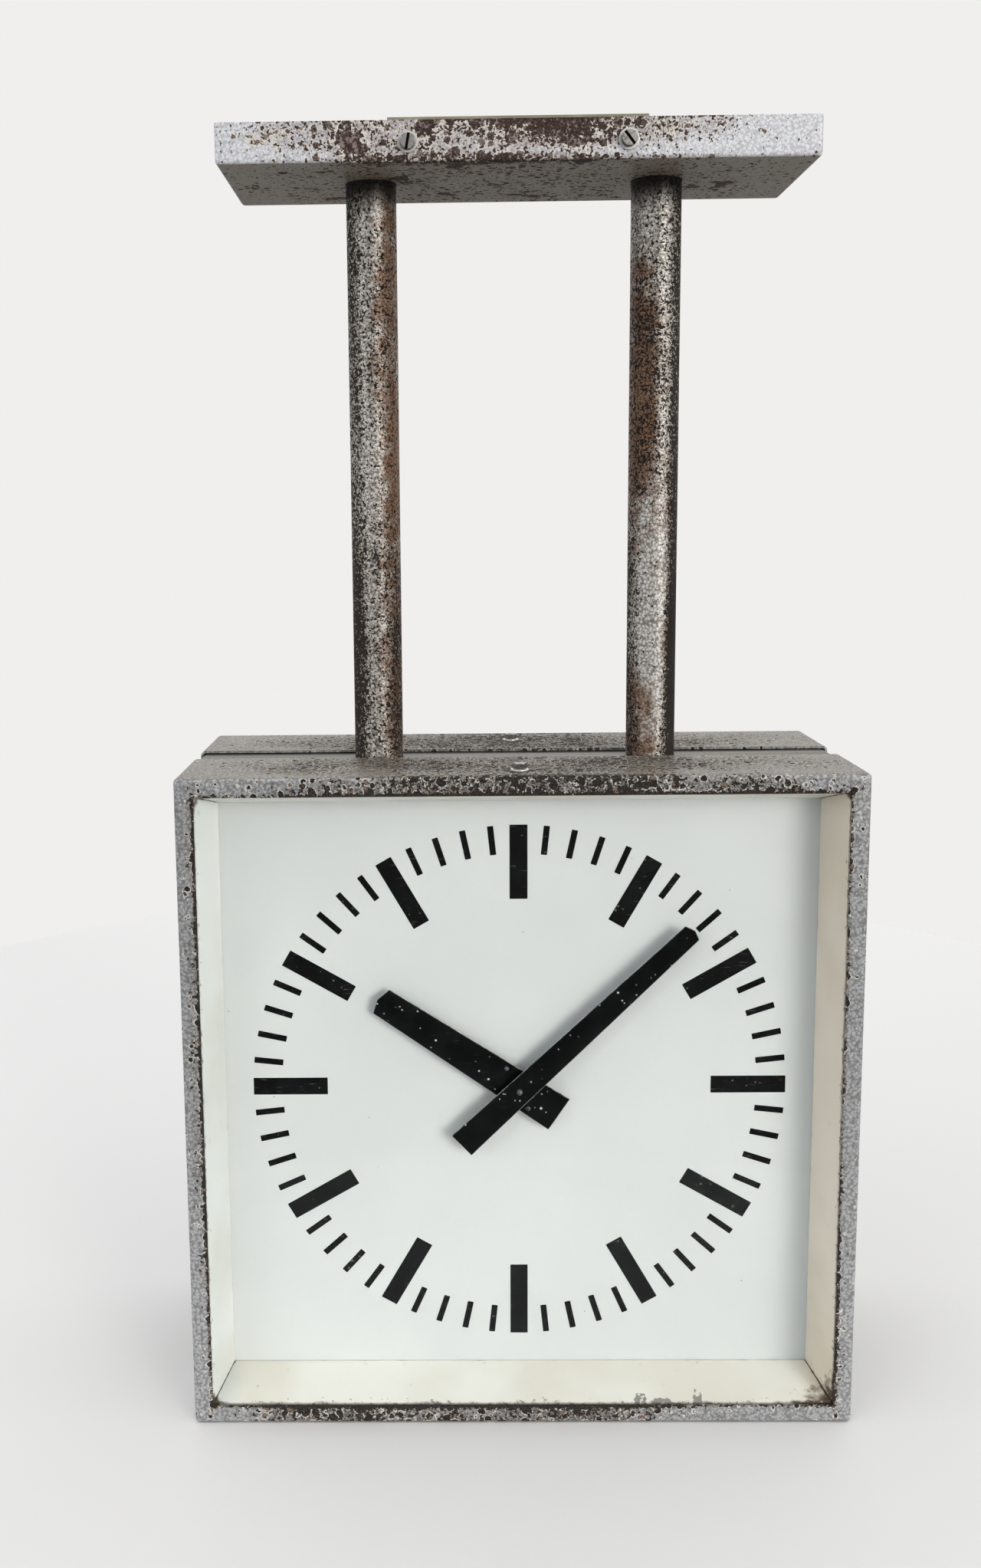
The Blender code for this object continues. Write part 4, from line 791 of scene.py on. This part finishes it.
def plainMetal(name, bright, dull, roughness, spot, lines=0.6, metallic=1.0, shadeBehind=None):
    material, tree, shader, place = startMaterial(name, roughness, metallic)
    cloud = addNode(
        tree, "ShaderNodeTexNoise", {"Vector": place, "Scale": per(spot), "Detail": 5, "Roughness": 0.6}
    ).outputs[0]
    mask = addNode(tree, "ShaderNodeMapRange", {0: cloud, 1: 0.42, 2: 0.66}, **smooth).outputs[0]
    shade = addNode(
        tree, "ShaderNodeMix", {0: mask, 6: colour(bright), 7: colour(dull)}, data_type="RGBA"
    ).outputs[2]
    # painted shade: darkens the slot and all that lies behind the given depth, where the head's recesses
    # are in shade
    if shadeBehind:
        depth = squareReach(tree, place)[3]
        fade = addNode(
            tree, "ShaderNodeMapRange", {0: depth, 1: shadeBehind, 2: shadeBehind - 0.3 * mm}, **smooth
        ).outputs[0]
        shade = addNode(
            tree, "ShaderNodeMix", {0: fade, 6: shade, 7: colour(slotShadeColour)}, data_type="RGBA"
        ).outputs[2]
    tree.links.new(shade, shader.inputs["Base Color"])
    rough = addNode(
        tree, "ShaderNodeMapRange", {"Value": mask, "To Min": roughness, "To Max": roughness + 0.25}
    )
    tree.links.new(rough.outputs[0], shader.inputs["Roughness"])
    fine = addNode(
        tree, "ShaderNodeTexNoise", {"Vector": place, "Scale": per(lines), "Detail": 2}
    ).outputs[0]
    bump = addNode(tree, "ShaderNodeBump", {"Height": fine, "Strength": 0.25, "Distance": 0.04 * mm})
    tree.links.new(bump.outputs[0], shader.inputs["Normal"])
    return material


# Float glass: clear, with sharp reflections. Lamps reach the dial through it.
def floatGlass():
    material, tree, shader, place = startMaterial("float_glass", 0.02)
    shader.inputs["Base Color"].default_value = colour("#FCFDFD")
    shader.inputs["Transmission Weight"].default_value = 1.0
    shader.inputs["IOR"].default_value = 1.17
    haze = addNode(
        tree, "ShaderNodeTexNoise", {"Vector": place, "Scale": per(60), "Detail": 6, "Roughness": 0.7}
    ).outputs[0]
    rough = addNode(tree, "ShaderNodeMapRange", {"Value": haze, "To Min": 0.0, "To Max": 0.05})
    tree.links.new(rough.outputs[0], shader.inputs["Roughness"])
    clear = addNode(tree, "ShaderNodeBsdfTransparent", {})
    path = addNode(tree, "ShaderNodeLightPath", {})
    mixed = addNode(
        tree,
        "ShaderNodeMixShader",
        {0: path.outputs["Is Shadow Ray"], 1: shader.outputs[0], 2: clear.outputs[0]},
    )
    tree.links.new(mixed.outputs[0], tree.nodes["Material Output"].inputs["Surface"])
    return material


cream = creamEnamel()
whiteDial = dialLacquer()
handLacquer = blackLacquer("black_stoved_lacquer", 0.9, 0.2, 0.3, 0.14)
markInk = blackLacquer("black_screen_ink", 0.15, 0.6, 0.5, 0.1)
edgeMetal = plainMetal("worn_aluminium_edge", "#8E918F", "#4C4E4E", 0.4, 3, metallic=0.5)
rivetMetal = plainMetal("dull_rivet_aluminium", "#6A6D70", "#2C2E30", 0.45, 1.5)
zincPlate = plainMetal("bright_zinc_plate", "#F4F3F0", "#D5D3CE", 0.3, 2.5, metallic=0.6)
# the screws get a painted shade in their slots
screwSteel = plainMetal(
    "dull_nickel_plate", "#B5B4B0", "#85837F", 0.35, 1.8, shadeBehind=screwFace - 0.35 * mm
)
galvanisedSheet = plainMetal("galvanised_sheet_steel", "#B4B7B8", "#9DA0A1", 0.45, 30, metallic=0.5)
boltSteel = plainMetal("worn_steel", "#C5C2BD", "#5F5953", 0.18, 2)
pressedSteel = plainMetal("zinc_primed_steel", "#A3A08B", "#918E79", 0.5, 40, metallic=0.3)
rolledBrass = plainMetal("rolled_brass", "#B8964A", "#8C6E35", 0.3, 8)
magnetSteel = plainMetal("ground_magnet_steel", "#6A6A6C", "#454547", 0.4, 4)
windingWire = plainMetal(
    "varnished_copper_winding", "#9A5A34", "#6E3A20", 0.4, 0.5, lines=0.35, metallic=0.5
)
phenolic = plainMetal("moulded_phenolic", "#3A2A22", "#2A1D17", 0.4, 6, lines=1.0, metallic=0.0)
glassPane = floatGlass()
print("materials made")


# Pressed and turned parts: a merged copy of the frame's shape with its edges eased

def easedCopy(nodeName, edge, folds=None):
    # folds picks the edges of the sheet that are bent round instead of cut, with their radius
    piece = copyOf(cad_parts[nodeName], nodeName + "_skin")
    startEdit(piece)
    bpy.ops.mesh.remove_doubles(threshold=weldGap)
    if edge:
        bpy.ops.mesh.dissolve_limited(angle_limit=math.radians(1))
    if folds:
        radius, wanted = folds
        pick("EDGE", wanted)
        bpy.ops.mesh.bevel(offset=radius * mm, segments=5, profile=0.5, clamp_overlap=True)
    endEdit()
    if edge:
        return roundOff(piece, edge * mm, 2, 30)
    makeActive(piece)
    bpy.ops.object.shade_smooth_by_angle(angle=smoothAngle)
    return piece


def middleOf(edge):
    return (edge.verts[0].co + edge.verts[1].co) / 2


def onHoodRim(edge):
    # the outline of the face, between the bezel and the four outer walls
    middle = middleOf(edge)
    outside = max(abs(middle.x), abs(middle.z - caseMiddle)) > caseHalf - nearEdge
    return outside and all(abs(abs(vert.co.y) + faceY) < onPlane for vert in edge.verts)


def onCanopyFold(edge):
    # the outline of the underside
    middle = middleOf(edge)
    outside = abs(middle.x) > canopyHigh.x - nearEdge or abs(middle.y) > canopyHigh.y - nearEdge
    return outside and all(abs(vert.co.z - canopyLow.z) < onPlane for vert in edge.verts)


sheetEdges = {"hood": 0.3, "reveal": 0.3, "canopy": 0.4, "bracket": 0.5}
foldRadii = {"hood": 2.2, "canopy": 3.0}
turnedEdges = {"tube": 0.5, "nut": 0.6, "bolt": 0.35, "washer": 0.2, "screw": 0.25}

for name in ("left", "right"):
    tube = easedCopy("tube_" + name, turnedEdges["tube"])
    finished(tube, tubeEnamel[name], "tube_paint", "frame", "tube_" + name)
    nut = easedCopy("tube_nut_" + name, turnedEdges["nut"])
    finished(nut, zincPlate, "zinc", "frame", "tube_nut_" + name)

canopy = easedCopy("canopy", sheetEdges["canopy"], (foldRadii["canopy"], onCanopyFold))
finished(canopy, canopyEnamel, "canopy_paint", "frame", "canopy")
finished(easedCopy("centre_band", 0), bandEnamel, "band_paint", "frame", "centre_band")
finished(
    easedCopy("ceiling_bracket", sheetEdges["bracket"]),
    pressedSteel,
    "frame_steel",
    "frame",
    "ceiling_bracket",
)
finished(easedCopy("centre_frame", 0), galvanisedSheet, "frame_steel", "frame", "centre_frame")

for place in ("front_left", "front_right", "rear_left", "rear_right"):
    screw = easedCopy("canopy_screw_" + place, turnedEdges["screw"])
    finished(screw, screwSteel, "zinc", "frame", "canopy_screw_" + place)
    washer = easedCopy("canopy_washer_" + place, turnedEdges["washer"])
    finished(washer, zincPlate, "zinc", "frame", "canopy_washer_" + place)

for side in ("front", "rear"):
    body = side + "_hood_assembly"
    hood = easedCopy(side + "_hood", sheetEdges["hood"], (foldRadii["hood"], onHoodRim))
    finished(hood, hammertone[side], "hammertone", body, side + "_hood")
    bolt = easedCopy(side + "_hood_bolt", turnedEdges["bolt"])
    finished(bolt, boltSteel, "bolt_steel", body, side + "_hood_bolt")
    washer = easedCopy(side + "_hood_washer", turnedEdges["washer"])
    finished(washer, zincPlate, "zinc", body, side + "_hood_washer")
    for edge in ("top", "right", "bottom", "left"):
        node = f"{side}_reveal_{edge}"
        finished(easedCopy(node, sheetEdges["reveal"]), cream, "cream_paint", body, node)
print("case and hanging gear made")


# Marks on the dial: raised print, sixty bars on one circle
markSizes = {
    "hour": {"width": 12.1 * mm, "length": 51.25 * mm},
    "minute": {"width": 4.2 * mm, "length": 20.0 * mm},
    "count": 60,
    "rim": 183.2 * mm,
    "proud": 0.12 * mm,
    "corner": 0.25 * mm,
}


def markBar(kind):
    size = markSizes[kind]
    deselectAll()
    middle = hubAt + Vector((0, -markSizes["proud"] / 2, markSizes["rim"] - size["length"] / 2))
    bpy.ops.mesh.primitive_cube_add(size=1, location=middle)
    bar = bpy.context.active_object
    bar.scale = (size["width"], markSizes["proud"], size["length"])
    settle(bar, kind + "_mark")
    startEdit(bar)
    pick("EDGE", lambda edge: abs((edge.verts[0].co - edge.verts[1].co).normalized().y) > 0.9)
    bpy.ops.mesh.bevel(offset=markSizes["corner"], segments=2)
    endEdit()
    return bar


def dialMarks(name):
    models = {"hour": markBar("hour"), "minute": markBar("minute")}
    bars = []
    tickCount = markSizes["count"]
    for i in range(tickCount):
        model = models["minute" if i % 5 else "hour"]
        turn = Matrix.Rotation(math.radians(360 * i / tickCount), 4, "Y")
        turn = Matrix.Translation(hubAt) @ turn @ Matrix.Translation(-hubAt)
        bars.append(copyOf(model, f"bar_{i}", turn))
    for model in models.values():
        bpy.data.objects.remove(model)
    return joinInto(bars[0], bars[1:], name)


# Hands: a ridged blade that fades to flat at the hub, with bare metal along its cut edge
handSizes = {
    "hour": {
        "reach": 113.1, "point": 3.2, "tail": 32.9, "tip": 20.0, "end": 26.5, "lift": 7.0, "angle": 303.85,
    },
    "minute": {
        "reach": 160.4, "point": 2.6, "tail": 55.3, "tip": 13.2, "end": 19.7, "lift": 12.2, "angle": 46.2,
    },
    "ridge": 1.6 * mm,
    "ridgeStart": 24 * mm,
    "ridgeFull": 42 * mm,
    "sheet": 1.0 * mm,
    "edge": 0.42 * mm,
}


def handBlade(kind, name):
    size = handSizes[kind]
    reach, tail = size["reach"] * mm, size["tail"] * mm
    y = hubAt.y - size["lift"] * mm
    deselectAll()
    bpy.ops.mesh.primitive_plane_add(size=1, rotation=(math.radians(90), 0, 0))
    blade = bpy.context.active_object
    blade.scale = (size["end"] * mm, reach + tail, 1)
    blade.location = (0, y, (reach - tail) / 2)
    settle(blade, name)
    startEdit(blade)
    pick("VERT", lambda vert: vert.co.z > 0)
    bpy.ops.transform.resize(value=(size["tip"] / size["end"], 1, 1), center_override=(0, y, reach))
    cuts = [((0, y, 0), (1, 0, 0))]
    for station in (0.0, handSizes["ridgeStart"], handSizes["ridgeFull"], 0.6 * reach):
        cuts.append(((0, y, station), (0, 0, 1)))
    for point, normal in cuts:
        bpy.ops.mesh.select_all(action="SELECT")
        bpy.ops.mesh.bisect(plane_co=point, plane_no=normal)
    pick("VERT", lambda vert: abs(vert.co.x) < 0.1 * mm and vert.co.z > handSizes["ridgeFull"] - 0.1 * mm)
    bpy.ops.transform.translate(value=(0, -handSizes["ridge"], 0))
    pick("VERT", lambda vert: abs(vert.co.x) < 0.1 * mm and vert.co.z > reach - 0.1 * mm)
    bpy.ops.transform.translate(value=(0, 0, size["point"] * mm))
    endEdit()
    blade.data.materials.append(handLacquer)
    blade.data.materials.append(edgeMetal)
    applyModifier(blade, "SOLIDIFY", thickness=handSizes["sheet"], offset=1.0)
    faceOut(blade)
    roundOff(blade, handSizes["edge"], 2, 60, material=1)
    blade.data.transform(
        Matrix.Translation((0, 0, hubAt.z)) @ Matrix.Rotation(math.radians(size["angle"]), 4, "Y")
    )
    return blade


rivetSizes = {
    "radius": 1.7 * mm,
    "rise": 1.0 * mm,
    "places": ((-8.6, 14.8), (6.0, -13.8)),
    "hub": 2.3 * mm,
    "hubRise": 1.5 * mm,
}


def domeHead(name, radius, rise, at):
    deselectAll()
    bpy.ops.mesh.primitive_uv_sphere_add(
        segments=32, ring_count=16, radius=radius, rotation=(math.radians(90), 0, 0)
    )
    dome = bpy.context.active_object
    settle(dome, name)
    startEdit(dome)
    bpy.ops.mesh.bisect(plane_co=(0, 0, 0), plane_no=(0, 1, 0), clear_outer=True, use_fill=True)
    pick("VERT", lambda vert: vert.co.y < -0.01 * mm)
    bpy.ops.transform.resize(value=(1, rise / radius, 1), center_override=(0, 0, 0))
    pick("FACE", lambda face: face.normal.y > 0.9)
    bpy.ops.mesh.extrude_region_move(TRANSFORM_OT_translate={"value": (0, 0.4 * mm, 0)})
    endEdit()
    dome.data.transform(Matrix.Translation(at))
    faceOut(dome)
    makeActive(dome)
    bpy.ops.object.shade_smooth_by_angle(angle=math.radians(40))
    return dome


def hubFittings():
    hour = handSizes["hour"]
    hourY = hubAt.y - (hour["lift"] + 1.0) * mm
    minuteY = hubAt.y - (handSizes["minute"]["lift"] + 1.0) * mm
    rivets = []
    for x, z in rivetSizes["places"]:
        at = Vector((x * mm, hourY, hubAt.z + z * mm))
        rivets.append(domeHead("rivet", rivetSizes["radius"], rivetSizes["rise"], at))
    pair = joinInto(rivets[0], rivets[1:], "front_hour_rivets")
    hub = domeHead("front_hub_cap", rivetSizes["hub"], rivetSizes["hubRise"], Vector((0, minuteY, hubAt.z)))
    return pair, hub


# everything on the dials is modelled for the front, and copied for the rear with half a turn
hourRivets, hubCap = hubFittings()
onDial = [
    (dialMarks("front_dial_marks"), markInk, "black_lacquer", "frame", ()),
    (handBlade("hour", "front_hour_blade"), None, "black_lacquer", "hour", ("hour_hand",)),
    (handBlade("minute", "front_minute_blade"), None, "black_lacquer", "minute", ("minute_hand",)),
    (hourRivets, rivetMetal, "bolt_steel", "hour", ()),
    (hubCap, rivetMetal, "bolt_steel", "minute", ()),
]
halfTurn = Matrix.Rotation(math.pi, 4, "Z")
for piece, material, slotName, body, replaced in onDial:
    rearPiece = copyOf(piece, piece.name.replace("front", "rear"), halfTurn)
    for side, made in (("front", piece), ("rear", rearPiece)):
        rides = body if body == "frame" else f"{side}_{body}"
        finished(made, material, slotName, rides, *[f"{side}_{node}" for node in replaced])
print("dials and hands made")


# The frame's own nodes keep their shape and get a finish
nodeFinishes = {
    "dial": whiteDial,
    "glass": glassPane,
    "hinge_rod": boltSteel,
    "movement_front_plate": rolledBrass,
    "movement_back_plate": rolledBrass,
    "stator": boltSteel,
    "coil": windingWire,
    "rotor": magnetSteel,
    "intermediate_wheel": rolledBrass,
    "centre_wheel": rolledBrass,
    "minute_wheel": rolledBrass,
    "hour_wheel": rolledBrass,
}
for side in ("front", "rear"):
    for part, material in nodeFinishes.items():
        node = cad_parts[f"{side}_{part}"]
        node.data.materials.clear()
        node.data.materials.append(material)
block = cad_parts["terminal_block"]
block.data.materials.clear()
block.data.materials.append(phenolic)


# Floor, light and camera

# The room is lighter overhead than at the horizon, and dim behind the camera, so the glass stays clear to
# look into.
stageFacts = {
    "floor": {"radius": 0.95, "at": (0, 0.42, -0.3 * mm), "colour": "#E6E5E3"},
    "backdrop": "#F0EFEE",
    "room": {"overhead": 1.25, "level": 0.78, "below": 0.2, "tint": "#FAFBFD", "dim": 0.75},
    "key": {"from": (0.63, -1.0, 0.2), "spread": 24, "strength": 1.2, "colour": "#FFFAF3"},
    "fill": {"from": (-0.9, -1.0, 0.45), "spread": 25, "strength": 0.35, "colour": "#F8FAFF"},
}


def stageFloor():
    facts = stageFacts["floor"]
    deselectAll()
    bpy.ops.mesh.primitive_circle_add(
        vertices=96, radius=facts["radius"], fill_type="NGON", location=facts["at"]
    )
    floor = settle(bpy.context.active_object, "stage_floor")
    material, tree, shader, place = startMaterial("matt_floor_paint", 1.0)
    shader.inputs["Specular IOR Level"].default_value = 0.0
    cloud = addNode(
        tree, "ShaderNodeTexNoise", {"Vector": place, "Scale": per(400), "Detail": 3}
    ).outputs[0]
    pale = colour(facts["colour"])
    shade = addNode(
        tree,
        "ShaderNodeMix",
        {0: cloud, 6: pale, 7: (*(0.985 * c for c in pale[:3]), 1)},
        data_type="RGBA",
    ).outputs[2]
    tree.links.new(shade, shader.inputs["Base Color"])
    floor.data.materials.append(material)


def sunLight(name, facts):
    light = bpy.data.lights.new(name, "SUN")
    light.energy = facts["strength"]
    light.angle = math.radians(facts["spread"])
    light.color = colour(facts["colour"])[:3]
    lamp = bpy.data.objects.new(name, light)
    bpy.context.collection.objects.link(lamp)
    lamp.location = facts["from"]
    lamp.rotation_euler = Vector(facts["from"]).to_track_quat("Z", "Y").to_euler()


def roomLight():
    facts = stageFacts["room"]
    world = bpy.data.worlds.new("studio")
    world.use_nodes = True
    tree = world.node_tree
    glow = tree.nodes["Background"]
    way = addNode(tree, "ShaderNodeTexCoord", {}).outputs["Generated"]
    parts = addNode(tree, "ShaderNodeSeparateXYZ", {"Vector": way})
    up = addNode(
        tree,
        "ShaderNodeMapRange",
        {
            "Value": parts.outputs["Z"],
            "From Max": 0.9,
            "To Min": facts["level"],
            "To Max": facts["overhead"],
        },
    ).outputs[0]
    down = addNode(
        tree, "ShaderNodeMapRange", {0: parts.outputs["Z"], 1: 0.0, 2: -0.15}, **smooth
    ).outputs[0]
    shade = addNode(
        tree, "ShaderNodeMix", {0: down, 2: up, 3: facts["below"]}, data_type="FLOAT"
    ).outputs[0]
    toward = addNode(
        tree, "ShaderNodeMapRange", {0: parts.outputs["Y"], 1: -0.6, 2: -0.95}, **smooth
    ).outputs[0]
    dimmed = addNode(
        tree, "ShaderNodeMapRange", {"Value": toward, "To Min": 1.0, "To Max": 1 - facts["dim"]}
    )
    shade = addNode(
        tree, "ShaderNodeMath", {0: shade, 1: dimmed.outputs[0]}, operation="MULTIPLY"
    ).outputs[0]
    # the light it gives differs from the plain backdrop that is seen past the object
    path = addNode(tree, "ShaderNodeLightPath", {})
    lights = addNode(
        tree,
        "ShaderNodeMath",
        {0: path.outputs["Is Diffuse Ray"], 1: path.outputs["Is Glossy Ray"]},
        operation="MAXIMUM",
    ).outputs[0]
    glow.inputs["Color"].default_value = colour(facts["tint"])
    tree.links.new(shade, glow.inputs["Strength"])
    backdrop = addNode(tree, "ShaderNodeBackground", {"Color": colour(stageFacts["backdrop"])})
    seen = addNode(tree, "ShaderNodeMixShader", {0: lights, 1: backdrop.outputs[0], 2: glow.outputs[0]})
    tree.links.new(seen.outputs[0], tree.nodes["World Output"].inputs["Surface"])
    bpy.context.scene.world = world


stageFloor()
sunLight("key_light", stageFacts["key"])
sunLight("fill_light", stageFacts["fill"])
roomLight()
bpy.context.scene.view_settings.view_transform = "Standard"

cameraFacts = {
    "at": (-0.04858, -1.04528, 0.61619),
    "yaw": -0.92, "pitch": -8.33, "roll": -0.61,
    "lens": 34.35, "sensor": 36.0,
    "shift": (0.0439, -0.0313),
}


def addCamera():
    yaw, pitch, roll = (math.radians(cameraFacts[key]) for key in ("yaw", "pitch", "roll"))
    ahead = Vector((math.sin(yaw) * math.cos(pitch), math.cos(yaw) * math.cos(pitch), math.sin(pitch)))
    right = Vector((math.cos(yaw), -math.sin(yaw), 0))
    above = right.cross(ahead)
    tiltedRight = right * math.cos(roll) + above * math.sin(roll)
    tiltedUp = above * math.cos(roll) - right * math.sin(roll)
    lensData = bpy.data.cameras.new("camera")
    lensData.lens = cameraFacts["lens"]
    lensData.sensor_width = cameraFacts["sensor"]
    lensData.shift_x, lensData.shift_y = cameraFacts["shift"]
    lensData.clip_start = 0.05
    camera = bpy.data.objects.new("camera", lensData)
    bpy.context.collection.objects.link(camera)
    turn = Matrix((tiltedRight, tiltedUp, -ahead)).transposed().to_4x4()
    camera.matrix_world = Matrix.Translation(cameraFacts["at"]) @ turn
    bpy.context.scene.camera = camera


addCamera()
print("stage, light and camera made")
